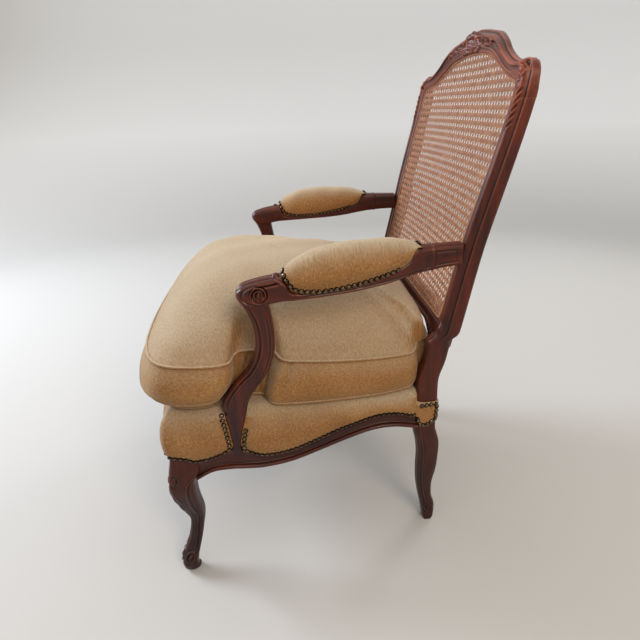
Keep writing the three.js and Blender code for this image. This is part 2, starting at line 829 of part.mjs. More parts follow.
// The cane follows the bow of the back, and its edges sit in grooves of the frame.
// The same shape, grown and without its openings, cuts the grooves.
function canePanel(grow, open) {
  const reach = caneTongue + grow;
  const cornerHalf = archRows[archRows.length - 1][0] - 4 * jointGap;
  const place = (u, v, depth) => {
    const aim = u * cornerHalf;
    const low = lowerRailEdge(aim) - reach;
    const high = readRow(archRows, Math.abs(aim), 1) + reach;
    const z = THREE.MathUtils.lerp(low, high, v);
    const half = stileOuter(Math.min(z, stileTop)) - stileWidth;
    const x = u * (half + reach);
    return new THREE.Vector3(x, backFace(x, z) + caneRecess + depth, z);
  };
  const front = -grow;
  const back = caneThick + grow;
  const points = [];
  const index = [];
  const quad = (a, b, c, d) => index.push(a, b, c, a, c, d);
  const corner = (i, j, depth) =>
    points.push(place((2 * i) / caneColumns - 1, j / caneRows, depth)) - 1;
  const sheet = (depth) =>
    Array.from({ length: caneColumns + 1 }, (_, i) =>
      Array.from({ length: caneRows + 1 }, (_, j) => corner(i, j, depth)),
    );
  const faces = [sheet(front), sheet(back)];
  const rim = (1 - caneOpenShare) / 2;
  const insets = [
    [rim, rim],
    [1 - rim, rim],
    [1 - rim, 1 - rim],
    [rim, 1 - rim],
  ];
  for (let i = 0; i < caneColumns; i++) {
    for (let j = 0; j < caneRows; j++) {
      const outer = faces.map((f) => [f[i][j], f[i + 1][j], f[i + 1][j + 1], f[i][j + 1]]);
      if (!open) {
        quad(...outer[0]);
        quad(...outer[1].reverse());
        continue;
      }
      const inner = [front, back].map((depth) => insets.map(([s, t]) => corner(i + s, j + t, depth)));
      for (let k = 0; k < 4; k++) {
        const n = (k + 1) % 4;
        quad(outer[0][k], outer[0][n], inner[0][n], inner[0][k]);
        quad(outer[1][n], outer[1][k], inner[1][k], inner[1][n]);
        quad(inner[0][k], inner[0][n], inner[1][n], inner[1][k]);
      }
    }
  }
  const [f, b] = faces;
  for (let i = 0; i < caneColumns; i++) {
    quad(f[i + 1][0], f[i][0], b[i][0], b[i + 1][0]);
    quad(f[i][caneRows], f[i + 1][caneRows], b[i + 1][caneRows], b[i][caneRows]);
  }
  for (let j = 0; j < caneRows; j++) {
    quad(f[0][j], f[0][j + 1], b[0][j + 1], b[0][j]);
    quad(f[caneColumns][j + 1], f[caneColumns][j], b[caneColumns][j], b[caneColumns][j + 1]);
  }
  const geometry = new THREE.BufferGeometry().setFromPoints(points);
  geometry.setIndex(new THREE.BufferAttribute(new Uint32Array(index), 1));
  return facingOut(geometry);
}

function sideRail() {
  const stations = 16;
  const front = sideRailFront + jointGap;
  const back = sideRailBack - jointGap;
  const rings = Array.from({ length: stations + 1 }, (_, k) => {
    const y = THREE.MathUtils.lerp(front, back, k / stations);
    const section = railSection(sideLevel(y, 1), sideLevel(y, 2));
    return section.map(([out, z]) => new THREE.Vector3(sideFace(y) + out, y, z));
  });
  const tenons = [sideTenon("front", 0), sideTenon("back", 0)];
  const lapInner = sideFace(supportLine) - supportLap - supportProud - jointGap;
  const lap = sideCut(supportView(railTop + overrun, jointGap), lapInner, cutHalf);
  return worked(loft(rings), tenons, [lap]);
}

function frontRail() {
  const stations = 20;
  const half = frontRailHalf - jointGap;
  const rings = Array.from({ length: stations + 1 }, (_, k) => {
    const x = THREE.MathUtils.lerp(-half, half, k / stations);
    const section = railSection(frontLevel(x, 1), frontLevel(x, 2));
    return section.map(([out, z]) => new THREE.Vector3(x, frontFace(x) - out, z));
  });
  return worked(loft(rings), [frontTenon(0), mirrorX(frontTenon(0))], []);
}

function rearRail() {
  const half = seatRearHalf - postWidth - 2 * jointGap;
  const low = [-half, seatRearY - railThick, railTop - rearRailHeight];
  const high = [half, seatRearY - rebateDepth, railTop];
  return worked(block(low, high), [rearTenon(0), mirrorX(rearTenon(0))], []);
}

// Plan of the seat frame, one point after another round it, with outward steps.
function framePlan(outward) {
  const half = [];
  const frontSteps = 5;
  const sideSteps = 8;
  for (let k = 0; k <= frontSteps; k++) {
    const x = ((seatFrontHalf - cornerRadius) * k) / frontSteps;
    half.push([x, frontFace(x)]);
  }
  for (let k = 1; k < 4; k++) {
    const angle = (Math.PI / 2) * (k / 4);
    const x = seatFrontHalf - cornerRadius + cornerRadius * Math.sin(angle);
    half.push([x, seatFrontY + cornerRadius - cornerRadius * Math.cos(angle)]);
  }
  for (let k = 0; k <= sideSteps; k++) {
    const y = THREE.MathUtils.lerp(seatFrontY + cornerRadius, seatRearY - cornerRadius / 2, k / sideSteps);
    half.push([sideFace(y), y]);
  }
  half.push([seatRearHalf - cornerRadius / 2, seatRearY]);
  half.push([seatRearHalf / 2, seatRearY], [0, seatRearY]);
  return offsetLoop(mirrorLoop(half), outward);
}

// Completes a loop from its left half, whose first and last points lie on the centre line.
function mirrorLoop(half) {
  const other = half.slice(1, -1).map(([x, y]) => [-x, y]);
  return [...half, ...other.reverse()];
}

function offsetLoop(loop, outward) {
  return loop.map(([x, y], i) => {
    const before = loop[(i + loop.length - 1) % loop.length];
    const after = loop[(i + 1) % loop.length];
    const way = new THREE.Vector2(after[1] - before[1], before[0] - after[0]).normalize();
    return [x + way.x * outward, y + way.y * outward];
  });
}

// Top of the deck, which falls towards the back and is a little crowned.
function deckTop(x, y) {
  const along = (y - seatFrontY) / (seatRearY - seatFrontY);
  const crown = deckCrown * Math.max(0, 1 - (x / seatFrontHalf) ** 2) * (1 - (2 * along - 1) ** 2);
  return THREE.MathUtils.lerp(deckFront, deckBack, along) + crown;
}

// Lower edge of the cover along one side, then across the front, as cutting solids.
const hemShare = 0.12; // lowest point of the cover's edge between the knee and the rail's top
const hemFit = 2.5; // the cover starts this far above the moulding
const cornerNailShares = [
  // from the rail towards the corner, height as the rails' tables give it
  [0, 0.26],
  [0.3, 0.36],
  [1, 0.46],
];
const postNailShares = [
  // across the post from front to rear
  [0, 0.7],
  [0.15, 0.38],
  [0.3, 0.36],
  [0.8, 0.52],
  [1, 0.56],
];

function nailCut() {
  const edge = [];
  const steps = 30;
  cornerNailShares.forEach(([along, up]) =>
    edge.push([sideRailFront - along * (legBlockSide + overrun), kneeTop + up * edgeUnit]),
  );
  edge.reverse();
  for (let k = 1; k < steps; k++) {
    const y = THREE.MathUtils.lerp(sideRailFront, sideRailBack, k / steps);
    edge.push([y, sideLevel(y, 2)]);
  }
  postNailShares.forEach(([along, up]) =>
    edge.push([postLine + along * (postDepth + deckSwell + overrun), kneeTop + up * edgeUnit]),
  );
  const raised = edge.map(([y, z]) => [y, z + hemFit]);
  const first = [raised[0][0], kneeTop - overrun];
  const last = [raised[raised.length - 1][0], kneeTop - overrun];
  return sideCut([...raised, last, first], seatRearHalf - postWidth, cutHalf);
}

function rearNailCut() {
  const low = [-seatRearHalf, seatRearY - overrun, kneeTop - overrun];
  const hem = railTop - rearRailHeight + beadHeight;
  return block(low, [seatRearHalf, seatRearY + deckSwell + overrun, hem]);
}

function frontNailCut() {
  const half = [];
  const steps = 16;
  for (let k = 0; k <= steps; k++) {
    const x = (frontRailHalf * k) / steps;
    half.push([x, frontLevel(x, 2)]);
  }
  cornerNailShares.slice(1).forEach(([along, up]) =>
    half.push([frontRailHalf + along * (legBlockSide - overrun), kneeTop + up * edgeUnit]),
  );
  const edge = [...half.slice(1).map(([x, z]) => [-x, z]).reverse(), ...half];
  const raised = edge.map(([x, z]) => new THREE.Vector2(x, z + hemFit));
  const low = kneeTop - overrun;
  const corners = [edge[edge.length - 1][0], edge[0][0]].map((x) => new THREE.Vector2(x, low));
  const outline = [...raised, ...corners];
  const depth = frontBow + legBlockSide + deckSwell;
  const cut = new THREE.ExtrudeGeometry(new THREE.Shape(outline), { depth, bevelEnabled: false });
  return cut.rotateX(Math.PI / 2).translate(0, seatFrontY + legBlockSide - overrun, 0);
}

// Draws rings in towards the middle of the seat.
function drawnIn(loop, share, centreY) {
  return loop.map(([x, y]) => [x * share, centreY + (y - centreY) * share]);
}

function raise(loop, height) {
  return loop.map(([x, y]) => new THREE.Vector3(x, y, height(x, y)));
}

const seatCentreY = (seatFrontY + seatRearY) / 2;
const deckEdge = 16; // radius of the deck's upper edge
const deckInsetShares = [0.85, 0.6, 0.3];
const coverStep = 8; // the cover clears the top of the rails by this much inside
const padShrink = 5; // the foam's lower edge stands this far outside its upper one
const coverSideShares = [
  // outward swell, height between the knee and the deck's top
  [1, 0.3],
  [0.85, 0.55],
  [0.3, 0.8],
  [-0.5, 0.93],
  [-1.4, 0.985],
];

// Space taken by an arm support and a rear post as they pass through the seat's padding.
function deckCuts(postFrom) {
  const supportInner = supportOuter(supportRows[0]) - supportThick - overrun / 2;
  const view = supportView(deckFront + 4 * deckCrown, supportFit);
  const support = sideCut(view, supportInner, cutHalf);
  const postInner = seatRearHalf - postWidth - supportFit;
  const postLow = [postInner, seatRearY - postDepth - supportFit, postFrom];
  const postHigh = [cutHalf, seatRearY + postDepth, deckFront + 4 * deckCrown];
  const post = block(postLow, postHigh);
  return [support, post, mirrorX(post), mirrorX(support)];
}

function indexed(geometry) {
  const bare = geometry.clone();
  bare.deleteAttribute("normal");
  bare.deleteAttribute("uv");
  return mergeVertices(bare);
}

function deckCover() {
  const under = (drop) => (x, y) => deckTop(x, y) - drop;
  const hem = () => kneeTop + edgeUnit * hemShare;
  const topPlan = framePlan(-deckEdge);
  const rings = [
    ...[0.3, 0.7].map((share) => raise(drawnIn(topPlan, share, seatCentreY), under(coverThick))),
    raise(topPlan, under(coverThick)),
    raise(framePlan(-rebateDepth), under(deckEdge + coverThick)),
    raise(framePlan(jointGap), () => railTop + coverStep),
    raise(framePlan(jointGap), hem),
    raise(framePlan(jointGap + coverThick), hem),
    ...coverSideShares.map(([out, up]) =>
      raise(framePlan(deckSwell * out), (x, y) => THREE.MathUtils.lerp(kneeTop, deckTop(x, y), up)),
    ),
    ...deckInsetShares.map((share) => raise(drawnIn(topPlan, share, seatCentreY), under(0))),
  ];
  const cuts = [...deckCuts(postPatchTop), nailCut(), mirrorX(nailCut()), frontNailCut(), rearNailCut()];
  return worked(loft(rings), [], cuts);
}

function deckPad() {
  const bottom = railTop + 2 * strapThick + 3 * jointGap;
  const inset = -deckEdge - jointGap;
  const under = (drop) => (x, y) => deckTop(x, y) - coverThick - 2 * jointGap - drop;
  const plan = framePlan(inset);
  const rings = [
    ...[0.4, 0.8].map((share) => raise(drawnIn(plan, share, seatCentreY), () => bottom)),
    raise(framePlan(inset + padShrink), () => bottom),
    raise(framePlan(inset + padShrink), () => bottom + deckEdge),
    raise(plan, under(coverStep)),
    ...[0.7, 0.3].map((share) => raise(drawnIn(plan, share, seatCentreY), under(0))),
  ];
  return worked(loft(rings), [], deckCuts(railTop));
}

// Plan of the cushion at its seams: ears in front of the arm supports, notches round them,
// then a body that runs back between the rear posts.
const cushionEarHalf = seatFrontHalf + cushionEarOut;
const cushionNotchHalf =
  Math.min(sideFace(supportLine) - supportThick, supportInner(deckFront + cushionFrontBox)) -
  cushionNotchFit;
const cushionTailHalf = seatRearHalf - postWidth - cushionTailFit;
const cushionFrontY = seatFrontY - cushionOverhang;
const cushionRearY = seatRearY - cushionRearSet;
const cushionCentreY = THREE.MathUtils.lerp(cushionFrontY, cushionRearY, cushionCentreShare);
const cushionEarShares = [
  // share of the ear's half width, place from front to rear
  [0, 0],
  [0.26, 0.002],
  [0.5, 0.01],
  [0.7, 0.024],
  [0.86, 0.05],
  [0.95, 0.085],
  [0.99, 0.13],
  [1, 0.19],
  [0.985, 0.234],
  [0.95, 0.261],
  [0.87, 0.272],
];
const cushionNotchShares = [
  // share of the notch's half width, place from front to rear
  [1.018, 0.294],
  [1, 0.35],
  [1, 0.41],
  [1.025, 0.455],
];
const cushionBodyShares = [
  // share of the half width over the side rails, place from front to rear
  [0.938, 0.486],
  [0.953, 0.53],
  [0.962, 0.62],
  [0.961, 0.72],
  [0.952, 0.83],
  [0.933, 0.91],
  [0.906, 0.948],
];
const cushionTailShares = [
  // share of the tail's half width, place from front to rear
  [1, 0.957],
  [0.986, 0.985],
  [0.704, 0.998],
  [0.352, 1],
  [0, 1],
];
const cushionNotchLean = 26; // the notch runs back by this much from the bottom to the seam
const cushionLeanShares = [0, 0.13, 0.25, 0.58, 0.8]; // where the lean and the bulge start and stop
const cushionSideShares = [
  // outward bulge, lean of the notch, bulge of the front, height of the boxing
  [-0.1, 0, 0.76, 0.07],
  [0.3, 0.05, 0.89, 0.3],
  [0.4, 0.45, 0.4, 0.65],
  [0.1, 0.9, 0.12, 0.93],
];
const cushionCurlShares = [0.27, 0.36]; // where the curl of the lower edge ends behind the ears
const cushionFootShare = 0.3; // share of the curl at the lowest ring
const cushionTopShares = [
  // share drawn in, share of the crown
  [0.975, 0.1],
  [0.93, 0.27],
  [0.86, 0.47],
  [0.76, 0.69],
  [0.62, 0.87],
  [0.44, 0.97],
  [0.22, 1],
];

function cushionPlan(outward) {
  const runs = [
    [cushionEarShares, () => cushionEarHalf],
    [cushionNotchShares, () => cushionNotchHalf],
    [cushionBodyShares, sideFace],
    [cushionTailShares, () => cushionTailHalf],
  ];
  const half = runs.flatMap(([shares, widthAt]) =>
    shares.map(([across, along]) => {
      const y = THREE.MathUtils.lerp(cushionFrontY, cushionRearY, along);
      return [across * widthAt(y), y];
    }),
  );
  return offsetLoop(mirrorLoop(half), outward);
}

// The notch leans back with the arm support and the front bulges, so the plan shifts as it rises.
function cushionLean(loop, lean, hang) {
  const [front, fore, notch, body, tail] = cushionLeanShares.map((share) =>
    THREE.MathUtils.lerp(cushionFrontY, cushionRearY, share),
  );
  return loop.map(([x, y]) => {
    const inside = THREE.MathUtils.smoothstep(y, fore, notch);
    const ahead = 1 - THREE.MathUtils.smoothstep(y, front, fore);
    const behind = THREE.MathUtils.smoothstep(y, body, tail);
    return [x, y + lean * cushionNotchLean * inside * (1 - behind) - hang * cushionHang * ahead];
  });
}

// How far the lower edge is curled up, from all of it at the front to none behind the ears.
function cushionCurled(y) {
  const [start, end] = cushionCurlShares.map((share) =>
    THREE.MathUtils.lerp(cushionFrontY, cushionRearY, share),
  );
  return 1 - THREE.MathUtils.smoothstep(y, start, end);
}

function seatCushion() {
  const along = (y) => (y - cushionFrontY) / (cushionRearY - cushionFrontY);
  const boxing = (y) => THREE.MathUtils.lerp(cushionFrontBox, cushionRearBox, along(y));
  const rest = (x, y) => deckTop(x, y) + cushionRest;
  const seam = (x, y) => rest(x, y) + boxing(y);
  const curled = (y, up) => cushionCurl * cushionCurled(y) * (1 - up) ** 2;
  const plan = (outward, lean, hang) => cushionLean(cushionPlan(outward), lean, hang);
  const inner = plan(-cushionTuck - cushionCurlIn, 0, 0);
  const foot = plan(-cushionTuck, 0, 0).map(([x, y], i) => {
    const share = cushionCurled(y);
    return [THREE.MathUtils.lerp(x, inner[i][0], share), THREE.MathUtils.lerp(y, inner[i][1], share)];
  });
  const top = plan(0, 1, 0);
  const rings = [
    ...[0.3, 0.6, 0.85].map((share) => raise(drawnIn(foot, share, cushionCentreY), rest)),
    raise(foot, (x, y) => rest(x, y) + jointGap + curled(y, 0) * cushionFootShare),
    ...cushionSideShares.map(([out, lean, hang, up]) =>
      raise(
        plan(cushionPull * out, lean, hang),
        (x, y) => rest(x, y) + boxing(y) * up + curled(y, up),
      ),
    ),
    raise(top, seam),
    ...cushionTopShares.map(([share, rise]) =>
      raise(drawnIn(top, share, cushionCentreY), (x, y) => seam(x, y) + rise * cushionCrown),
    ),
  ];
  return loft(rings);
}

// A brace across a corner of the frame, notched round the leg or post.
function cornerBlock(outline) {
  const shape = new THREE.Shape(outline.map(([x, y]) => new THREE.Vector2(x, y)));
  const made = new THREE.ExtrudeGeometry(shape, { depth: cornerBlockHeight, bevelEnabled: false });
  return made.translate(0, 0, railTop - cornerBlockDrop - cornerBlockHeight);
}

// Inner faces of the rails, which the pieces inside the frame stand against.
const insideFront = seatFrontY + railThick + jointGap;
const insideRear = seatRearY - railThick - jointGap;
const insideLeg = frontRailHalf - jointGap;
const insidePost = seatRearHalf - postWidth - 2 * jointGap;

function insideSide(y) {
  return sideFace(y) - railThick - jointGap;
}

function frontCornerBlock() {
  const back = sideRailFront + cornerBlockSide;
  const behindLeg = sideRailFront + jointGap;
  return cornerBlock([
    [insideLeg - cornerBlockSide, insideFront],
    [insideLeg, insideFront],
    [insideLeg, behindLeg],
    [insideSide(back), behindLeg],
    [insideSide(back), back],
  ]);
}

function rearCornerBlock() {
  const front = postLine - cornerBlockSide;
  const beforePost = postLine - jointGap;
  return cornerBlock([
    [insidePost - cornerBlockSide, insideRear],
    [insidePost, insideRear],
    [insidePost, beforePost],
    [insideSide(beforePost), beforePost],
    [insideSide(beforePost), front],
  ]);
}

// Jute straps on top of the rails: the ones along the seat lie over the ones across it.
function strapAcross(k) {
  const y = THREE.MathUtils.lerp(seatFrontY, seatRearY, (k + 1) / (strapsAcross + 1));
  const half = sideFace(y) - railThick / 2;
  const low = [-half, y - strapWidth / 2, railTop + jointGap];
  return block(low, [half, y + strapWidth / 2, low[2] + strapThick]);
}

function strapAlong(k) {
  const x = THREE.MathUtils.lerp(-frontRailHalf, frontRailHalf, (k + 1) / (strapsAlong + 1));
  const low = [x - strapWidth / 2, seatFrontY + railThick / 2, railTop + 2 * jointGap + strapThick];
  return block(low, [x + strapWidth / 2, seatRearY - railThick / 2, low[2] + strapThick]);
}

// Black cloth under the seat, held against the corner blocks inside the rails.
function dustCover() {
  const half = [];
  const steps = 5;
  for (let k = 0; k <= steps; k++) {
    const x = (insideLeg * k) / steps;
    half.push([x, frontFace(x) + railThick + jointGap]);
  }
  for (let k = 0; k <= steps; k++) {
    const y = THREE.MathUtils.lerp(sideRailFront + jointGap, postLine - 2 * jointGap, k / steps);
    if (k === 0) half.push([insideLeg, y]);
    half.push([insideSide(y), y]);
    if (k === steps) half.push([insidePost, y]);
  }
  half.push([insidePost, insideRear], [0, insideRear]);
  const inside = mirrorLoop(half).map(([x, y]) => new THREE.Vector2(x, y));
  const made = new THREE.ExtrudeGeometry(new THREE.Shape(inside), {
    depth: dustCoverThick,
    bevelEnabled: false,
  });
  const blocksUnder = railTop - cornerBlockDrop - cornerBlockHeight;
  return made.translate(0, 0, blocksUnder - jointGap - dustCoverThick);
}

const wood = new THREE.MeshStandardMaterial({ color: 0x6b3320, roughness: 0.38, flatShading: true });
const chenille = new THREE.MeshStandardMaterial({ color: 0xc9a061, roughness: 0.95, flatShading: true });
const cane = new THREE.MeshStandardMaterial({ color: 0xb87a42, roughness: 0.6, flatShading: true });
const jute = new THREE.MeshStandardMaterial({ color: 0xa58a5c, roughness: 1, flatShading: true });
const foam = new THREE.MeshStandardMaterial({ color: 0xe6ddc4, roughness: 1, flatShading: true });
const cambric = new THREE.MeshStandardMaterial({ color: 0x1c1b1a, roughness: 1, flatShading: true });

const chair = new THREE.Group();

function place(name, geometry, material) {
  const mesh = new THREE.Mesh(geometry, material);
  mesh.name = name;
  chair.add(mesh);
  return mesh;
}

// A piece and its mirror image.
function placePair(name, geometry, material) {
  place(`${name}_left`, geometry, material);
  place(`${name}_right`, geometry, material).scale.x = -1;
}

placePair("front_leg", frontLeg(), wood);
placePair("rear_post", rearPost(), wood);
place("front_seat_rail", frontRail(), wood);
placePair("side_seat_rail", sideRail(), wood);
place("rear_seat_rail", rearRail(), wood);
placePair("arm_support", armSupport(), wood);
placePair("armrest", armrest(), wood);
placePair("arm_pad", armPad(), chenille);
place("crest_rail", crestRail(), wood);
place("lower_back_rail", lowerBackRail(), wood);
placePair("front_corner_block", frontCornerBlock(), wood);
placePair("rear_corner_block", rearCornerBlock(), wood);
for (let k = 0; k < strapsAcross; k++) place(`strap_across_${k + 1}`, strapAcross(k), jute);
for (let k = 0; k < strapsAlong; k++) place(`strap_along_${k + 1}`, strapAlong(k), jute);
place("dust_cover", dustCover(), cambric);
place("cane_panel", canePanel(0, true), cane);
place("deck_cover", deckCover(), chenille);
place("deck_pad", deckPad(), foam);
place("seat_cushion", seatCushion(), chenille);

// The origin is on the floor, under the middle of the chair.
const bounds = new THREE.Box3().setFromObject(chair);
chair.position.set(0, -bounds.getCenter(new THREE.Vector3()).y, -bounds.min.z);

export default chair;
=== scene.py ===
import bpy
import math
import numpy as np
from mathutils import Matrix, Vector
from mathutils.bvhtree import BVHTree


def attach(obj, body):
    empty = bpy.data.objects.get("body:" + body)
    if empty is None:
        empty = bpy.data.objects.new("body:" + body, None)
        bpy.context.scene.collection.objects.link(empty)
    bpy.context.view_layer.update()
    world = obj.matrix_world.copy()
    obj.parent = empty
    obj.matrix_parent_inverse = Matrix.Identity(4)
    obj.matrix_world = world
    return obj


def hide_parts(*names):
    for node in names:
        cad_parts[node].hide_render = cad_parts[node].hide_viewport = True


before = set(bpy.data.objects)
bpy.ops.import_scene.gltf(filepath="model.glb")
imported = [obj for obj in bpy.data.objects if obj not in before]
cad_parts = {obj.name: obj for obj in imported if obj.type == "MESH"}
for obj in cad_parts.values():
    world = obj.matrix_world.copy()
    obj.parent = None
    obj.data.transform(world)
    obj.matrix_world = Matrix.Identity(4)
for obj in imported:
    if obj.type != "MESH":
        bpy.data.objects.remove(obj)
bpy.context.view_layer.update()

print("frame loaded with", len(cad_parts), "nodes")

backSet = 19.4  # the seat's zero line lies this far behind the middle of the chair
seat = {
    "frontHalf": 305, "rearHalf": 262, "frontY": -290, "rearY": 252, "sideSwell": 5, "frontBow": 24,
    "railTop": 345, "kneeTop": 262, "railThick": 27, "bead": 4.0, "beadHeight": 9,
    "legBlock": 50, "postDepth": 46, "postWidth": 34, "corner": 12,
}
edgeUnit = seat["railTop"] - seat["kneeTop"]  # the rails' edges are drawn in shares of this height
sideFront = seat["frontY"] + seat["legBlock"]  # the side rails run from here, at the front legs,
postLine = seat["rearY"] - seat["postDepth"]  # to here, at the rear posts
frontHalf = seat["frontHalf"] - seat["legBlock"]  # half the front rail's length


def linear(hexColour):
    parts = [int(hexColour[i:i + 2], 16) / 255 for i in (1, 3, 5)]
    return tuple(p / 12.92 if p <= 0.04045 else ((p + 0.055) / 1.055) ** 2.4 for p in parts) + (1.0,)


def addNode(material, kind, settings=None, values=None, links=None, stops=None):
    node = material.node_tree.nodes.new(kind)
    for name, value in (settings or {}).items():
        setattr(node, name, value)
    for socket, value in (values or {}).items():
        node.inputs[socket].default_value = value
    for socket, source in (links or {}).items():
        material.node_tree.links.new(source, node.inputs[socket])
    if stops:  # positions and hex colours of a colour ramp
        for element, (place, colour) in zip(node.color_ramp.elements, (stops[0], stops[-1])):
            element.position = place
            element.color = linear(colour)
        for place, colour in stops[1:-1]:
            node.color_ramp.elements.new(place).color = linear(colour)
    return node


def newMaterial(name, **values):
    material = bpy.data.materials.new(name)
    material.use_nodes = True
    shader = material.node_tree.nodes["Principled BSDF"]
    for socket, value in values.items():
        shader.inputs[socket.replace("_", " ")].default_value = value
    return material, shader


# Tables and curves

def smoothTable(rows, steps):  # a smooth curve through every row
    rows = np.asarray(rows, float)
    out = []
    for i in range(len(rows) - 1):
        a, b, c, d = rows[max(i - 1, 0)], rows[i], rows[i + 1], rows[min(i + 2, len(rows) - 1)]
        for s in range(steps):
            t = s / steps
            out.append(b + t * (c - a) / 2 + t * t * (a - 2.5 * b + 2 * c - d / 2)
                       + t ** 3 * (1.5 * b - a / 2 - 1.5 * c + d / 2))
    out.append(rows[-1])
    return np.array(out)


def readTable(rows, key, column):
    return np.interp(key, rows[:, 0], rows[:, column])


def ease(low, high, value):
    t = np.clip((value - low) / (high - low), 0, 1)
    return t * t * (3 - 2 * t)


def ridge(value, width):  # a rounded hump of height 1 round zero
    return np.exp(-(value / width) ** 2)


def mix(a, b, t):
    return a + (b - a) * t


def runLength(points):  # distance along a flat line to each of its points
    return np.r_[0, np.cumsum(np.hypot(*np.diff(points, axis=0).T))]


def ripple(s, seed, *lengths):  # a repeatable uneven wave
    waves = [np.sin(2 * math.pi * s / length + seed * (k + 1.7)) for k, length in enumerate(lengths)]
    return sum(waves) / len(lengths)


def roundedSquare(squareness, count):
    angle = math.pi * (0.75 + 2 * np.arange(count) / count)
    turn = np.stack([np.cos(angle), np.sin(angle)], 1)
    return np.sign(turn) * np.abs(turn) ** (2 / squareness)


# Meshes

def storeValues(mesh, name, kind, values):  # one value or vector for each point, read by the materials
    field = "vector" if kind == "FLOAT_VECTOR" else "value"
    mesh.attributes.new(name, kind, "POINT").data.foreach_set(field, np.float32(values).ravel())


def meshPiece(name, points, faces, grain="z", sharp=55):  # grain is the axis the wood's fibres run along
    points = np.asarray(points, float)
    mesh = bpy.data.meshes.new(name)
    mesh.from_pydata(((points - (0, backSet, 0)) * 0.001).tolist(), [], faces)
    mesh.validate()
    mesh.polygons.foreach_set("use_smooth", np.ones(len(mesh.polygons), bool))
    mesh.set_sharp_from_angle(angle=math.radians(sharp))
    order = {"x": (1, 2, 0), "y": (0, 2, 1), "z": (0, 1, 2)}[grain]
    if len(mesh.vertices) == len(points):
        storeValues(mesh, "grain", "FLOAT_VECTOR", points[:, order] * 0.001)
    piece = bpy.data.objects.new(name, mesh)
    bpy.context.scene.collection.objects.link(piece)
    return piece


def gridFaces(rows, around, closed=True):
    r, i = np.meshgrid(np.arange(rows - 1), np.arange(around if closed else around - 1), indexing="ij")
    a = r * around + i
    b = r * around + (i + 1) % around
    return np.stack([a, b, b + around, a + around], -1).reshape(-1, 4).tolist()


def faceOut(points, faces):  # turns a closed skin's faces outwards
    points = np.asarray(points)
    volume = 0.0
    for face in faces:
        p = points[face]
        for k in range(1, len(face) - 1):
            volume += np.dot(p[0], np.cross(p[k], p[k + 1]))
    return faces if volume > 0 else [face[::-1] for face in faces]


def loftSkin(rings, capped=True):  # closed rings joined into one skin
    rings = np.asarray(rings, float)
    rows, around = rings.shape[:2]
    points = rings.reshape(-1, 3)
    faces = gridFaces(rows, around)
    if capped:
        ends = np.stack([rings[0].mean(0), rings[-1].mean(0)])
        points = np.vstack([points, ends])
        last = (rows - 1) * around
        for i in range(around):
            n = (i + 1) % around
            faces.append([len(points) - 2, n, i])
            faces.append([len(points) - 1, last + i, last + n])
    return points, faces


def loftPiece(name, rings, grain="z", sharp=55):
    points, faces = loftSkin(rings)
    return meshPiece(name, points, faceOut(points, faces), grain, sharp)


def carved(rings, depth):  # moves each point of a loft along the outward normal
    rings = np.asarray(rings, float)
    along = np.gradient(rings, axis=0)
    around = (np.roll(rings, -1, 1) - np.roll(rings, 1, 1)) / 2
    normal = np.cross(around, along)
    normal /= np.linalg.norm(normal, axis=2, keepdims=True) + 1e-9
    outward = rings - rings.mean(1, keepdims=True)
    if np.sum(normal * outward) < 0:
        normal = -normal
    return rings + normal * depth[..., None]


def mirrored(piece, name):
    mesh = piece.data.copy()
    mesh.name = name
    mesh.transform(Matrix.Scale(-1, 4, (1, 0, 0)))
    mesh.flip_normals()
    twin = bpy.data.objects.new(name, mesh)
    bpy.context.scene.collection.objects.link(twin)
    return twin


def markRelief(piece):  # stores a value above a half on edges and below it in hollows
    fullBend = 160  # what an edge of 3 mm radius gives, which counts as nearly sharp
    mesh = piece.data
    count = len(mesh.vertices)
    place = np.empty(count * 3)
    mesh.vertices.foreach_get("co", place)
    place = place.reshape(-1, 3)
    normal = np.empty(count * 3)
    mesh.vertices.foreach_get("normal", normal)
    normal = normal.reshape(-1, 3)
    ends = np.empty(len(mesh.edges) * 2, int)
    mesh.edges.foreach_get("vertices", ends)
    a, b = ends.reshape(-1, 2).T
    span = place[b] - place[a]
    square = np.maximum((span ** 2).sum(1), 1e-9)
    bend = np.zeros(count)
    degree = np.zeros(count)
    np.add.at(bend, a, (span * normal[a]).sum(1) / square)
    np.add.at(bend, b, -(span * normal[b]).sum(1) / square)
    np.add.at(degree, a, 1)
    np.add.at(degree, b, 1)
    bend /= np.maximum(degree, 1)
    for _ in range(2):  # evens the values out over their neighbours
        total = bend.copy()
        np.add.at(total, a, bend[b])
        np.add.at(total, b, bend[a])
        bend = total / (degree + 1)
    storeValues(mesh, "relief", "FLOAT", 0.5 - 0.5 * np.tanh(bend / fullBend))


def finishPiece(piece, material, body="frame", nodes=()):
    piece.data.materials.clear()
    piece.data.materials.append(material)
    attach(piece, body)
    if nodes:
        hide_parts(*nodes)
    return piece


def finishPair(piece, material, node=None, relief=True):
    base = piece.name
    if relief:
        markRelief(piece)
    twin = mirrored(piece, base + "Right")
    piece.name = base + "Left"
    finishPiece(piece, material, nodes=(node + "_left",) if node else ())
    finishPiece(twin, material, nodes=(node + "_right",) if node else ())
    return piece, twin


# Materials

# Mahogany, carved, stained dark red-brown and varnished to a satin: the stain pools almost black
# in the hollows, edges are rubbed back to orange-brown, and long fine pores break up the gloss.
woodLook = {
    "deep": "#0F0504", "stain": "#34100A", "heart": "#5E2413", "rubbed": "#8C4C2D",
    "poreMm": 1.1, "poreLengthMm": 26, "figureMm": 24, "figureLengthMm": 160,
    # painted shade on the feet as a share of the colour, and painted light that the crest gains
    "legPaintedShade": 0.42, "backPaintedLight": 1.0,  # colour of the feet as a share, and what the crest gains
}


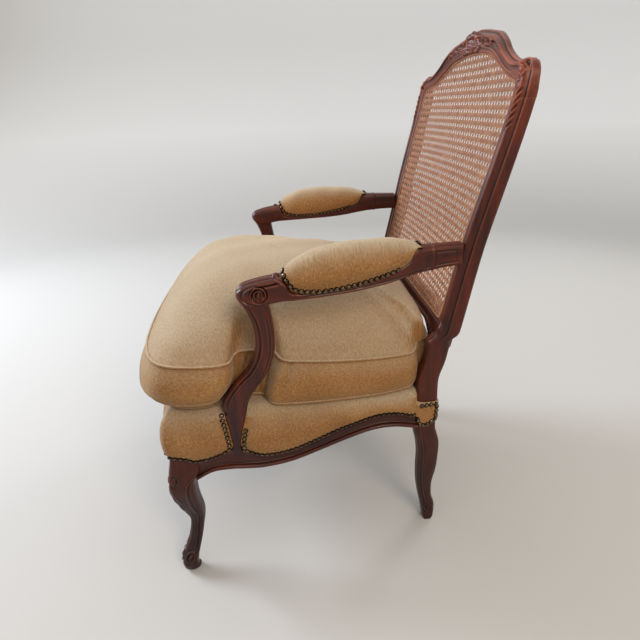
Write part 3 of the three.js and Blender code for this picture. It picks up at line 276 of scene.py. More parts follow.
def makeWood():
    material, shader = newMaterial("stainedMahogany", Roughness=0.34, IOR=1.4)
    place = addNode(material, "ShaderNodeAttribute", {"attribute_name": "grain"})
    relief = addNode(material, "ShaderNodeAttribute", {"attribute_name": "relief"})
    look = woodLook
    fine = [1000 / look[key] for key in ("poreMm", "poreMm", "poreLengthMm")]
    broad = [1000 / look[key] for key in ("figureMm", "figureMm", "figureLengthMm")]
    poreMap = addNode(material, "ShaderNodeMapping", values={"Scale": fine},
                      links={"Vector": place.outputs["Vector"]})
    figureMap = addNode(material, "ShaderNodeMapping", values={"Scale": broad},
                        links={"Vector": place.outputs["Vector"]})
    pores = addNode(material, "ShaderNodeTexNoise",
                    values={"Scale": 1.0, "Detail": 4.0, "Roughness": 0.6},
                    links={"Vector": poreMap.outputs[0]})
    figure = addNode(material, "ShaderNodeTexNoise",
                     values={"Scale": 1.0, "Detail": 3.0, "Distortion": 0.6},
                     links={"Vector": figureMap.outputs[0]})
    tone = addNode(material, "ShaderNodeValToRGB", links={0: figure.outputs[0]},
                   stops=[(0.34, look["stain"]), (0.66, look["heart"])])
    poreShade = addNode(material, "ShaderNodeMapRange",
                        values={"From Min": 0.35, "From Max": 0.62, "To Min": 0.72, "To Max": 1.08},
                        links={0: pores.outputs[0]})
    streaked = addNode(material, "ShaderNodeMix", {"data_type": "RGBA", "blend_type": "MULTIPLY"},
                       {0: 1.0}, {6: tone.outputs[0], 7: poreShade.outputs[0]})
    hollow = addNode(material, "ShaderNodeMapRange",
                     values={"From Min": 0.24, "From Max": 0.5, "To Min": 0.95, "To Max": 0.0},
                     links={0: relief.outputs["Fac"]})
    pooled = addNode(material, "ShaderNodeMix", {"data_type": "RGBA"}, {7: linear(look["deep"])},
                     {0: hollow.outputs[0], 6: streaked.outputs[2]})
    worn = addNode(material, "ShaderNodeMapRange",
                   values={"From Min": 0.56, "From Max": 0.9, "To Min": 0.0, "To Max": 0.5},
                   links={0: relief.outputs["Fac"]})
    patchy = addNode(material, "ShaderNodeMath", {"operation": "MULTIPLY"},
                     links={0: worn.outputs[0], 1: figure.outputs[0]})
    strong = addNode(material, "ShaderNodeMath", {"operation": "MULTIPLY", "use_clamp": True}, {1: 1.9},
                     {0: patchy.outputs[0]})
    rubbed = addNode(material, "ShaderNodeMix", {"data_type": "RGBA"}, {7: linear(look["rubbed"])},
                     {0: strong.outputs[0], 6: pooled.outputs[2]})
    # painted shade darkens the legs towards the floor, and painted light brightens the top of the back
    spot = addNode(material, "ShaderNodeTexCoord")
    height = addNode(material, "ShaderNodeSeparateXYZ", links={0: spot.outputs["Object"]})
    legPaintedShade = addNode(material, "ShaderNodeMapRange",
                       values={"From Min": 0.1, "From Max": 0.42, "To Min": look["legPaintedShade"], "To Max": 1.0},
                       links={0: height.outputs[2]})
    backPaintedLight = addNode(material, "ShaderNodeMapRange",
                       values={"From Min": 0.7, "From Max": 0.96, "To Min": 0.0, "To Max": look["backPaintedLight"]},
                       links={0: height.outputs[2]})
    paintedLightByHeight = addNode(material, "ShaderNodeMath", {"operation": "ADD"},
                  links={0: legPaintedShade.outputs[0], 1: backPaintedLight.outputs[0]})
    litByHeight = addNode(material, "ShaderNodeMix", {"data_type": "RGBA", "blend_type": "MULTIPLY"},
                   {0: 1.0}, {6: rubbed.outputs[2], 7: paintedLightByHeight.outputs[0]})
    gloss = addNode(material, "ShaderNodeMapRange", values={"To Min": 0.27, "To Max": 0.46},
                    links={0: pores.outputs[0]})
    bump = addNode(material, "ShaderNodeBump", values={"Strength": 0.25, "Distance": 0.0003},
                   links={"Height": pores.outputs[0]})
    tree = material.node_tree
    tree.links.new(litByHeight.outputs[2], shader.inputs["Base Color"])
    tree.links.new(gloss.outputs[0], shader.inputs["Roughness"])
    tree.links.new(bump.outputs[0], shader.inputs["Normal"])
    return material


wood = makeWood()
print("wood stained")

# Camera, lamps and floor

view = {  # the camera of the photograph, in metres, degrees and millimetres
    "place": (1.05015, -0.05624, 0.90703), "azimuth": 86.065, "elevation": 24.304, "roll": -2.368,
    "lens": 26.685, "sensor": 36.0,
}


def makeCamera():
    a, e, r = (math.radians(view[key]) for key in ("azimuth", "elevation", "roll"))
    right = Vector((math.cos(a), math.sin(a), 0))
    behind = Vector((math.sin(a) * math.cos(e), -math.cos(a) * math.cos(e), math.sin(e)))
    up = behind.cross(right)
    turnedRight = right * math.cos(r) + up * math.sin(r)
    turnedUp = up * math.cos(r) - right * math.sin(r)
    camera = bpy.data.objects.new("viewCamera", bpy.data.cameras.new("viewCamera"))
    camera.data.lens = view["lens"]
    camera.data.sensor_width = view["sensor"]
    camera.data.sensor_fit = "HORIZONTAL"
    camera.data.clip_start = 0.02
    turn = Matrix((turnedRight, turnedUp, behind)).transposed().to_4x4()
    camera.matrix_world = Matrix.Translation(view["place"]) @ turn
    bpy.context.scene.collection.objects.link(camera)
    bpy.context.scene.camera = camera


lamps = {  # place, aim, size, power and colour of each softbox
    "window": ((-1.3, -3.2, 2.1), (0, 0, 1.1), 1.7, 142, "#ECF3FF"),
    "side": ((2.3, 0.8, 2.0), (0, 0, 0.5), 1.2, 31, "#FFEBD2"),
    "rear": ((-1.6, 2.0, 1.7), (0, 0.1, 0.6), 1.0, 12, "#FFFFFF"),
}
roomLook = {
    "floor": "#CAC8C4", "wall": "#F4F3F0", "bounce": "#8F8C87", "sky": "#FFFFFF", "skyLevel": 0.9,
    "flat": 2900, "curve": 1500,  # reach of the flat floor, and radius of its curve up
    "height": 3600, "sides": 96, "paleAt": 0.7,  # the paint is palest from this height up, in metres
}


def makeRoom():
    for name, (place, aim, size, power, colour) in lamps.items():
        lamp = bpy.data.objects.new(name + "Lamp", bpy.data.lights.new(name + "Lamp", "AREA"))
        lamp.data.shape = "DISK"
        lamp.data.size = size
        lamp.data.energy = power
        lamp.data.color = linear(colour)[:3]
        lamp.location = place
        lamp.rotation_euler = (Vector(aim) - Vector(place)).to_track_quat("-Z", "Y").to_euler()
        bpy.context.scene.collection.objects.link(lamp)
    world = bpy.data.worlds.new("softRoom")
    bpy.context.scene.world = world
    world.use_nodes = True
    sky = world.node_tree.nodes["Background"]
    sky.inputs["Color"].default_value = linear(roomLook["sky"])
    sky.inputs["Strength"].default_value = roomLook["skyLevel"]
    # floor and wall are one sheet, curved up all round, so no edge shows behind the chair
    flat, curve, around = roomLook["flat"], roomLook["curve"], roomLook["sides"]
    profile = [(r, 0) for r in (1, 900, 1800, flat)]
    profile += [(flat + curve * math.sin(t), curve - curve * math.cos(t))
                for t in np.linspace(0.08, math.pi / 2, 18)]
    profile.append((flat + curve, roomLook["height"]))
    angle = -2 * math.pi * np.arange(around) / around
    rings = [np.stack([r * np.cos(angle), r * np.sin(angle) + backSet, np.full(around, z)], 1)
             for r, z in profile]
    points, faces = loftSkin(rings, capped=False)
    floor = meshPiece("floor", points, faces + [list(range(around))])
    paint, shader = newMaterial("matFloor", Roughness=0.9)
    # the sheet is painted paler up the wall, where less light falls
    place = addNode(paint, "ShaderNodeTexCoord")
    split = addNode(paint, "ShaderNodeSeparateXYZ", links={0: place.outputs["Object"]})
    rise = addNode(paint, "ShaderNodeMapRange", values={"From Min": 0.0, "From Max": roomLook["paleAt"]},
                   links={0: split.outputs[2]})
    pale = addNode(paint, "ShaderNodeMix", {"data_type": "RGBA"},
                   {6: linear(roomLook["floor"]), 7: linear(roomLook["wall"])}, {0: rise.outputs[0]})
    # seen straight or in a reflection it is pale, but it throws less light back at the chair
    path = addNode(paint, "ShaderNodeLightPath")
    shiny = addNode(paint, "ShaderNodeMath", {"operation": "ADD"},
                    links={0: path.outputs["Is Glossy Ray"], 1: path.outputs["Is Transmission Ray"]})
    seen = addNode(paint, "ShaderNodeMath", {"operation": "ADD", "use_clamp": True},
                   links={0: path.outputs["Is Camera Ray"], 1: shiny.outputs[0]})
    tone = addNode(paint, "ShaderNodeMix", {"data_type": "RGBA"}, {6: linear(roomLook["bounce"])},
                   {0: seen.outputs[0], 7: pale.outputs[2]})
    paint.node_tree.links.new(tone.outputs[2], shader.inputs["Base Color"])
    floor.data.materials.append(paint)
    bpy.context.scene.view_settings.view_transform = "Standard"


makeCamera()
makeRoom()
print("camera, lamps and floor placed")

# Seat frame: rails and front legs

sideEdges = smoothTable([
    # along the rail, lower edge, nail line
    (0, -0.26, 0.26), (0.07, -0.08, 0.3), (0.15, -0.06, 0.44), (0.22, -0.1, 0.4), (0.3, -0.13, 0.22),
    (0.42, -0.06, 0.26), (0.55, 0.15, 0.5), (0.68, 0.38, 0.76), (0.8, 0.53, 0.92), (0.9, 0.52, 0.91),
    (1, 0.38, 0.7),
], 8)
frontEdges = smoothTable([
    # from the middle outwards, lower edge, nail line
    (0, -0.34, 0.2), (0.12, -0.28, 0.24), (0.25, -0.08, 0.34), (0.45, 0.06, 0.46), (0.65, 0.08, 0.5),
    (0.85, -0.04, 0.48), (1, -0.26, 0.42),
], 8)


def sideFace(y):
    along = (y - seat["frontY"]) / (seat["rearY"] - seat["frontY"])
    return mix(seat["frontHalf"], seat["rearHalf"], along) + 4 * seat["sideSwell"] * along * (1 - along)


def frontFace(x):
    return seat["frontY"] - seat["frontBow"] * np.maximum(0, 1 - (x / frontHalf) ** 2)


def sideLevel(y, column):
    share = (y - sideFront) / (postLine - sideFront)
    return seat["kneeTop"] + edgeUnit * readTable(sideEdges, share, column)


def frontLevel(x, column):
    return seat["kneeTop"] + edgeUnit * readTable(frontEdges, np.abs(x) / frontHalf, column)


def railSection(low, nail):  # distance outwards from the rail's face, and height
    proud, height, thick = seat["bead"], seat["beadHeight"], seat["railThick"]
    top = seat["railTop"]
    above = low + height
    return smoothTable([
        # underside and bead
        (-thick, low + 4), (-thick + 4, low), (-6, low), (-1.5, low + 0.2), (proud * 0.55, low + 1.2),
        (proud * 0.95, low + 3), (proud, low + 5), (proud * 0.7, low + 7.4), (0.3, above),
        # quirk, small round and hollow face
        (-2.2, above + 1.2), (-1.6, above + 2.4), (0.8, above + 3.2), (1.2, above + 4.4),
        (-0.6, above + 6), (-1.2, (above + nail) / 2 + 2),
        # ridge under the nails, then the ground that the cloth covers
        (0.4, nail - 5), (1.2, nail - 2), (-1, nail + 1.5), (-3.5, nail + 5), (-4, top), (-thick, top),
    ], 3)


shell = {"reach": 34, "lobes": 4.5, "leafStart": 30, "leafLength": 62, "leafHalf": 7.5}


def makeRails():
    stations, tenon = 150, 3  # each rail runs this far into the blocks at its ends
    rings = []
    for y in np.linspace(sideFront - tenon, postLine + tenon, stations):
        at = min(max(y, sideFront), postLine)
        section = railSection(sideLevel(at, 1), sideLevel(at, 2))
        rings.append([(sideFace(y) + out, y, z) for out, z in section])
    finishPair(loftPiece("sideRail", rings, "y"), wood, "side_seat_rail")
    rings = []
    for x in np.linspace(-frontHalf - tenon, frontHalf + tenon, stations):
        at = min(max(x, -frontHalf), frontHalf)
        section = railSection(frontLevel(at, 1), frontLevel(at, 2))
        rings.append([(x, frontFace(at) - out, z) for out, z in section])
    rings = np.array(rings)
    x, y, z = np.moveaxis(rings, 2, 0)
    level = seat["kneeTop"] - 4
    faced = ease(8, 2, y - frontFace(x))
    reach = np.hypot(x, (z - level) * 1.2)
    lobes = np.abs(np.cos(np.arctan2(z - level - 2, x) * shell["lobes"])) ** 0.7
    ribbed = ease(shell["reach"], shell["reach"] - 10, reach) * ease(4, 9, reach)
    depth = faced * ribbed * (1.5 + 2.2 * lobes)
    depth += faced * 4 * ridge(reach, 5)
    for side in (-1, 1):  # a leaf on each side of the shell
        run = (side * x - shell["leafStart"]) / shell["leafLength"]
        spine = level + 4 + 9 * np.sin(np.clip(run, 0, 1) * 2.6)
        half = shell["leafHalf"] * np.sin(np.clip(run, 0, 1) * math.pi) ** 0.6
        leaf = ease(1.05, 0.7, np.abs(z - spine) / np.maximum(half, 0.4)) * ((run > 0) & (run < 1))
        veins = 0.6 + 0.4 * np.cos(run * 44 - np.abs(z - spine) * 0.5)
        depth += faced * leaf * 2.4 * veins
        depth -= faced * leaf * 1.6 * ridge(z - spine, 1.1)
    piece = loftPiece("frontRail", carved(rings, depth), "x")
    markRelief(piece)
    finishPiece(piece, wood, nodes=("front_seat_rail",))


# The toe's scroll and the knee's husk are drawn at these levels. A leg's table gives shares of
# its height, of the swing outwards and of its depth.
leg = {
    "swing": 10, "depth": 52, "toe": 40, "husk": 236, "huskLength": 88, "huskHalf": 19,
    "oval": (11, 246), "ovalHalf": (5.5, 9.0), "around": 144,
}


def makeFrontLegs():
    table = smoothTable([
        # height, how far out, depth, squareness
        (0, 0.3, 0.48, 2.6), (0.03, 1.1, 0.58, 2.6), (0.12, 1.3, 0.67, 2.6), (0.19, 0.7, 0.65, 2.8),
        (0.28, -0.5, 0.55, 3), (0.39, -1.2, 0.54, 3), (0.48, -1.3, 0.61, 3.2), (0.565, -0.7, 0.74, 3.4),
        (0.69, 0.3, 0.87, 3.6), (0.81, 0.95, 0.98, 3.8), (0.9, 0.95, 1, 4), (0.96, 0.8, 1.02, 4.4),
        (1.01, 0.52, 1.03, 5), (1.06, 0.22, 1.03, 6), (1.11, -0.02, 1.03, 7), (1.16, -0.2, 1.0, 7),
        (1.31, -0.3, 0.95, 7),
    ], 13)
    around = leg["around"]
    rings, depths = [], []
    for height, out, depth, squareness in table:
        z = height * seat["kneeTop"]
        out *= leg["swing"]
        depth *= leg["depth"]
        a, b = roundedSquare(squareness, around).T
        x = seat["frontHalf"] + out - depth * (1 + a) / 2
        y = seat["frontY"] - out + depth * (1 + b) / 2 + 9 * ridge(z - 264, 17) * np.maximum(b, 0)
        rings.append(np.stack([x, y, np.full(around, z)], 1))
        carve = np.zeros(around)
        for face, across in ((-a, b), (-b, a)):  # outer face, then front face
            on = ease(0.8, 0.97, face)
            rear = (1 - across) / 2 * depth  # distance from the face's inner edge
            fore = (1 + across) / 2 * depth
            fade = ease(270, 258, z) * ease(46, 66, z)
            # the edge bead follows the knee's curve and sweeps out under the rail
            sweep = np.interp(z, (50, 100, 145, 200, 222, 238, 250, 258, 270),
                              (7, 9, 11, 13, 13, 9, 4, 0.5, -2))
            carve -= on * fade * (2.0 * ridge(rear - sweep, 1.9) + 0.9 * ridge(rear - sweep - 7, 1.3))
            carve += on * fade * 1.1 * ridge(rear - sweep - 4, 1.6)
            carve -= on * ease(232, 205, z) * fade * (1.2 * ridge(fore - 7, 1.4))
            # scroll of the toe
            r = np.hypot(rear - depth * 0.5, (z - leg["toe"]) * 0.85)
            carve += on * (2.4 * ridge(r, 3.6) - 1.8 * ridge(r - 6.2, 1.5) + 1.5 * ridge(r - 9.6, 2.0)
                           - 1.7 * ridge(r - 13.2, 1.5)) * ease(17, 14, r)
        # husk on the corner of the knee: an oval on both sides above a leaf with a central vein
        corner = ((1 + b) - (1 + a)) / 2 * depth
        near = np.maximum(ease(0.35, 0.75, np.minimum(-a, -b)), ease(0.75, 0.95, np.maximum(-a, -b)))
        reach = np.abs(corner)
        drop = (leg["husk"] - z) / leg["huskLength"]
        if 0 < drop < 1:
            half = leg["huskHalf"] * math.sin(math.pi * min(drop * 0.8 + 0.2, 1)) ** 0.8
            leaf = ease(1.0, 0.75, reach / max(half, 0.5))
            lobes = 0.55 + 0.45 * np.cos(reach * 0.5 - drop * 16)
            carve += near * leaf * (0.2 + 1.0 * lobes) * ease(1.0, 0.8, drop)
            carve -= near * leaf * 1.5 * ridge(corner, 1.0) * ease(0.2, 0.35, drop)
        (aside, level), (wide, tall) = leg["oval"], leg["ovalHalf"]
        oval = np.hypot((reach - aside) / wide, (z - level) / tall)
        carve += near * (0.7 * ease(1.0, 0.5, oval) - 2.4 * ridge(oval - 1.3, 0.28)) * ease(1, 6, reach)
        depths.append(carve)
    piece = loftPiece("frontLeg", carved(rings, np.array(depths)), "z")
    finishPair(piece, wood, "front_leg")


makeRails()
makeFrontLegs()
print("seat rails and front legs carved")

# Arm supports and arms

arm = {
    "foot": 285, "top": 604, "line": -99, "lean": 92, "scrollHalf": 329, "scrollWidth": 46,
    "scrollY": -90, "scrollReach": 33, "rise": 37, "endX": 261, "endHeight": 40,
    "eye": (-85, 630.5), "coil": 5.6,  # middle of the volute, and the space between its turns
    "supportAround": 132, "around": 168,
}
supportTable = smoothTable([
    # height, front edge and rear edge as shares of the lean, outward lean
    (0, -0.9, -0.38, 0), (0.03, -0.79, -0.48, 0.01), (0.06, -0.735, -0.53, 0.03),
    (0.105, -0.72, -0.527, 0.055), (0.155, -0.737, -0.495, 0.09), (0.24, -0.768, -0.41, 0.165),
    (0.305, -0.797, -0.352, 0.225),
    (0.375, -0.784, -0.295, 0.29), (0.41, -0.774, -0.25, 0.33), (0.455, -0.705, -0.17, 0.38),
    (0.52, -0.54, -0.01, 0.46), (0.57, -0.38, 0.12, 0.53), (0.61, -0.25, 0.197, 0.58),
    (0.673, -0.12, 0.282, 0.66), (0.735, -0.045, 0.342, 0.74), (0.795, -0.01, 0.362, 0.8),
    (0.855, -0.01, 0.369, 0.87), (0.92, -0.035, 0.35, 0.94), (0.958, -0.075, 0.33, 0.97),
    (1, -0.13, 0.31, 1), (1.05, -0.21, 0.3, 1),
], 12)


def supportAt(z):
    height = (z - arm["foot"]) / (arm["top"] - arm["foot"])
    front, rear, lean = (readTable(supportTable, height, column) for column in (1, 2, 3))
    return arm["line"] + front * arm["lean"], arm["line"] + rear * arm["lean"], lean


def makeArmSupports():
    around = arm["supportAround"]
    a, b = roundedSquare(3.4, around).T
    rings, depths = [], []
    for height in np.linspace(0, 1.045, 240):  # the top runs up into the arm, which hides the joint
        z = mix(arm["foot"], arm["top"], height)
        front, rear, lean = supportAt(z)
        proud = mix(0.6, 2.2, ease(286, 308, z))  # how far it stands out from the rail
        outer = mix(sideFace((front + rear) / 2) + proud, arm["scrollHalf"] - 0.9, lean)
        thick = mix(17, mix(28, 42, lean ** 3), ease(334, 350, z))
        half = (rear - front) / 2
        rings.append(np.stack([outer - thick * (1 + a) / 2, front + half * (1 + b), np.full(around, z)], 1))
        fore, hind = (1 + b) * half, (1 - b) * half
        on = ease(0.72, 0.95, -a)
        fade = ease(396, 416, z)
        below = ease(598, 575, z)
        carve = -on * fade * (2.0 * ridge(fore - 9, 1.7) + 1.2 * ridge(hind - 8, 1.5) * below)
        carve += on * fade * (1.2 * ridge(fore - 12.5, 1.9) + 0.7 * ridge(hind - 11, 1.6) * below)
        # the front bead ends low down in a small scroll
        corner = ease(0.2, 0.8, -b)
        carve += corner * (3.4 * ridge(z - 404, 8) - 2.4 * ridge(z - 388, 6)) * ease(0.2, 0.6, -a)
        carve -= ease(0.75, 0.95, -b) * ease(400, 420, z) * 1.2 * ridge(a, 0.22)
        depths.append(carve)
    finishPair(loftPiece("armSupport", carved(rings, np.array(depths)), "z"), wood, "arm_support")


armTable = smoothTable([
    # along, underside rise, top rise as shares of the arm's rise, place across, width share
    (0, 0.56, 0.82, 0, 0.6), (0.008, 0.42, 0.92, 0, 0.82), (0.02, 0.27, 1.03, 0, 0.94),
    (0.04, 0.03, 1.12, 0, 1), (0.09, 0, 1.26, 0, 1), (0.126, 0, 1.33, 0, 1),
    (0.136, 0.17, 1.34, 0, 0.99), (0.185, 0.25, 1.41, 0.01, 0.96), (0.2, 0.265, 1.34, 0.02, 0.97),
    (0.225, 0.29, 0.82, 0.03, 1.0),
    (0.26, 0.32, 0.68, 0.04, 1.04), (0.39, 0.385, 0.7, 0.13, 1.04), (0.52, 0.46, 0.84, 0.29, 1.04),
    (0.645, 0.6, 1.12, 0.48, 1.02), (0.71, 0.71, 1.38, 0.58, 0.92), (0.75, 0.78, 1.62, 0.64, 0.86),
    (0.78, 0.82, 2.14, 0.69, 0.8), (0.82, 0.88, 2.12, 0.75, 0.74), (0.91, 0.97, 2.1, 0.88, 0.64),
    (1, 1, 2.08, 1, 0.61),
], 12)


def armAt(along):  # place, underside, top, middle line and half width
    low, high, across, width = (readTable(armTable, along, column) for column in (1, 2, 3, 4))
    start = arm["scrollY"] - arm["scrollReach"]
    end = backFace(arm["endX"], arm["top"] + arm["rise"] + arm["endHeight"] / 2) + 1.5
    middle = mix(arm["scrollHalf"] - arm["scrollWidth"] / 2, arm["endX"], across)
    low, high = (arm["top"] + share * arm["rise"] for share in (low, high))
    return mix(start, end, along), low, high, middle, width * arm["scrollWidth"] / 2


def makeArms():
    around = arm["around"]
    a, b = roundedSquare(4.2, around).T
    rings, depths = [], []
    eye = arm["eye"]
    for along in np.r_[np.linspace(0, 0.2, 130)[:-1], np.linspace(0.2, 1, 200)]:  # finer at the scroll
        y, low, high, x, half = armAt(along)
        z = (high + low) / 2 + b * (high - low) / 2
        slim = 1 - 0.06 * ease(10, 0, y + 121)  # rounds the scroll's nose
        rings.append(np.stack([x - a * half * slim, np.full(around, y), z], 1))
        on = ease(0.72, 0.95, -a)
        top = ease(0.72, 0.95, b)
        r = np.hypot(y - eye[0], z - eye[1])
        turn = np.arctan2(z - eye[1], y - eye[0]) / (2 * math.pi)
        coil = np.cos(2 * math.pi * (r / arm["coil"] - turn))  # a spiral of nearly three turns
        carve = on * ease(16.5, 15, r) * mix(1.6, 1.8 * coil - 0.6, ease(3.4, 4.4, r))
        # the edge bead turns down round the nose and goes on into the support
        nose = (np.hypot((y - eye[0]) / 38, (z - eye[1]) / 22) - 0.76) * 28
        turned = on * ease(eye[0] + 2, eye[0] - 6, y) * (z > arm["top"])
        carve -= turned * 2.0 * ridge(nose, 1.7)
        carve += turned * 1.1 * ridge(nose + 4, 2.0)
        # ridge lines from the scroll to the pad
        before = ease(-46, -56, y)
        carve -= top * before * (2.6 * ridge(a + 0.38, 0.1) + 2.6 * ridge(a - 0.38, 0.1))
        carve += top * before * 0.9 * ridge(a, 0.25)
        behind = on * before * ease(eye[0] - 6, eye[0] + 2, y)
        carve -= 2.8 * behind * ridge(z - (high - 7.5), 1.8)
        carve += 0.9 * behind * ridge(z - (high - 11.5), 2.0) * ease(14, 18, r)
        boss = np.hypot(y + 56, (a + 0.05) * half)
        carve += top * 4.0 * ease(6.5, 3, boss)
        carve -= top * 1.6 * ridge(boss - 7.8, 1.1)
        # wedge that carries the pad's front end, then a line along the lower edge
        slope = z - (655 - (y + 58) * 0.75)
        wedge = on * ease(-66, -58, y) * ease(-18, -28, y)
        carve += wedge * (2.0 * ridge(slope, 3) - 1.8 * ridge(slope - 7, 1.6))
        carve -= on * ease(-20, 0, y) * ease(196, 184, y) * 1.3 * ridge(z - (low + 7), 1.5)
        # panels on the plain rear end
        for fore, hind in ((200, 211), (218, 262)):
            border = np.minimum(np.minimum(y - fore, hind - y), np.minimum(z - low - 7, high - 7 - z))
            carve -= on * 1.7 * ease(0, 1.6, border)
            carve += on * 1.1 * ease(3.6, 6, border)
        collar = ease(213.5, 214.5, y) * ease(217.5, 216.5, y)
        carve += 1.2 * collar * ease(0.5, 0.8, np.maximum(np.abs(a), np.abs(b)))
        depths.append(carve)
    finishPair(loftPiece("arm", carved(rings, np.array(depths)), "y"), wood, "armrest")


# Back: posts, crest rail and lower rail

back = {
    "stileFoot": 505, "stileTop": 905, "half": 283, "peak": 1030,
    "faceY": 264, "faceLevel": 650, "rake": 12.3, "bow": 15, "sweep": 7.5,
    "stileOuter": 274, "stileFlare": 9, "stileWidth": 31, "footOuter": 237,
    "footDepth": 44, "topDepth": 34, "shoulderDepth": 28.5, "crestDepth": 19,  # depths from front to rear
    "railEdge": 512, "railCurve": 13, "railHalf": 243, "railHeight": 32, "railCorner": 30,
}
# Both tables run from the outer face over the front to the inner edge and back behind:
# place across from the outer edge, depth from the front face.
stileSection = [
    (0, 0.93), (0, 0.62), (0, 0.49), (0.012, 0.47), (0.04, 0.458), (0.07, 0.45), (0.09, 0.43),
    (0.095, 0.36), (0.105, 0.28), (0.13, 0.2), (0.17, 0.13), (0.22, 0.09), (0.28, 0.075), (0.34, 0.085),
    (0.39, 0.115), (0.43, 0.16), (0.455, 0.2), (0.48, 0.2), (0.505, 0.16), (0.55, 0.13), (0.62, 0.115),
    (0.7, 0.11), (0.78, 0.11), (0.85, 0.115), (0.89, 0.13), (0.92, 0.165), (0.955, 0.195),
    (0.985, 0.22), (1, 0.27), (1, 0.45), (1, 0.93), (0.93, 1), (0.07, 1),
]
panelSection = [
    (0, 0.93), (0, 0.62), (0, 0.52), (0.015, 0.475), (0.05, 0.455), (0.1, 0.45), (0.122, 0.43),
    (0.128, 0.32), (0.135, 0.18), (0.15, 0.07), (0.175, 0), (0.21, -0.035), (0.25, -0.035),
    (0.285, 0.01), (0.305, 0.08), (0.325, 0.15), (0.36, 0.2), (0.48, 0.255), (0.62, 0.24), (0.69, 0.2),
    (0.705, 0.15), (0.735, 0.11), (0.775, 0.12), (0.795, 0.17), (0.815, 0.17), (0.85, 0.115),
    (0.91, 0.11), (0.965, 0.15), (1, 0.25), (1, 0.45), (1, 0.93), (0.95, 1), (0.05, 1),
]
stileFlare = smoothTable([(0, 0.16), (0.1, 0.13), (0.36, -0.16), (0.63, 0.56), (0.9, 0.93), (1, 0.96)], 6)


def fineRows(rows, steps):  # a closed table with straight lines between its rows
    rows = np.asarray(rows, float)
    after = np.roll(rows, -1, 0)
    parts = [rows + (after - rows) * s / steps for s in range(steps)]
    return np.stack(parts, 1).reshape(-1, rows.shape[1])


stileFine, panelFine = fineRows(stileSection, 4), fineRows(panelSection, 4)


def backFace(x, z):  # front of the back: raked, bowed, and swept a little further back near the top
    lean = (z - back["faceLevel"]) * math.tan(math.radians(back["rake"]))
    sweep = back["sweep"] * ease(665, 905, z) * (1 - 0.75 * ease(935, 1010, z))
    return back["faceY"] + lean + back["bow"] * (1 - (x / back["half"]) ** 2) + sweep


def stileShare(z):
    return (z - back["stileFoot"]) / (back["stileTop"] - back["stileFoot"])


def stileOuter(z):
    return back["stileOuter"] + back["stileFlare"] * readTable(stileFlare, stileShare(z), 1)


def stileDepth(z):
    return mix(back["footDepth"], back["topDepth"], np.clip(stileShare(z), 0, 1))


def stileRing(z):
    across, deep = stileFine.T
    x = stileOuter(z) - across * back["stileWidth"]
    return np.stack([x, backFace(x, z) + deep * stileDepth(z), np.full(len(x), z)], 1)


def plainRing(outer, width, front, rear):  # a rounded ring whose points match the stile's section
    section = stileFine * (back["stileWidth"], 38)
    share = runLength(np.vstack([section, section[:1]]))
    dense = roundedSquare(4, 720)
    closed = np.vstack([dense, dense[:1]])
    run = runLength(closed)
    at = share[:-1] / share[-1] * run[-1]
    a, b = (np.interp(at, run, closed[:, k]) for k in (0, 1))
    x = outer - width * (1 + a) / 2
    y = postLine + seat["postDepth"] * (front + (rear - front) * (1 + b) / 2)
    return x, y, a, b


def frondCarving(run, across, length=11.5):  # slanting leaf fronds along a moulding
    wave = np.cos(2 * math.pi * (run + across * 56) / length)
    return np.where(wave > -0.2, wave, -0.2 + (wave + 0.2) * 1.6)


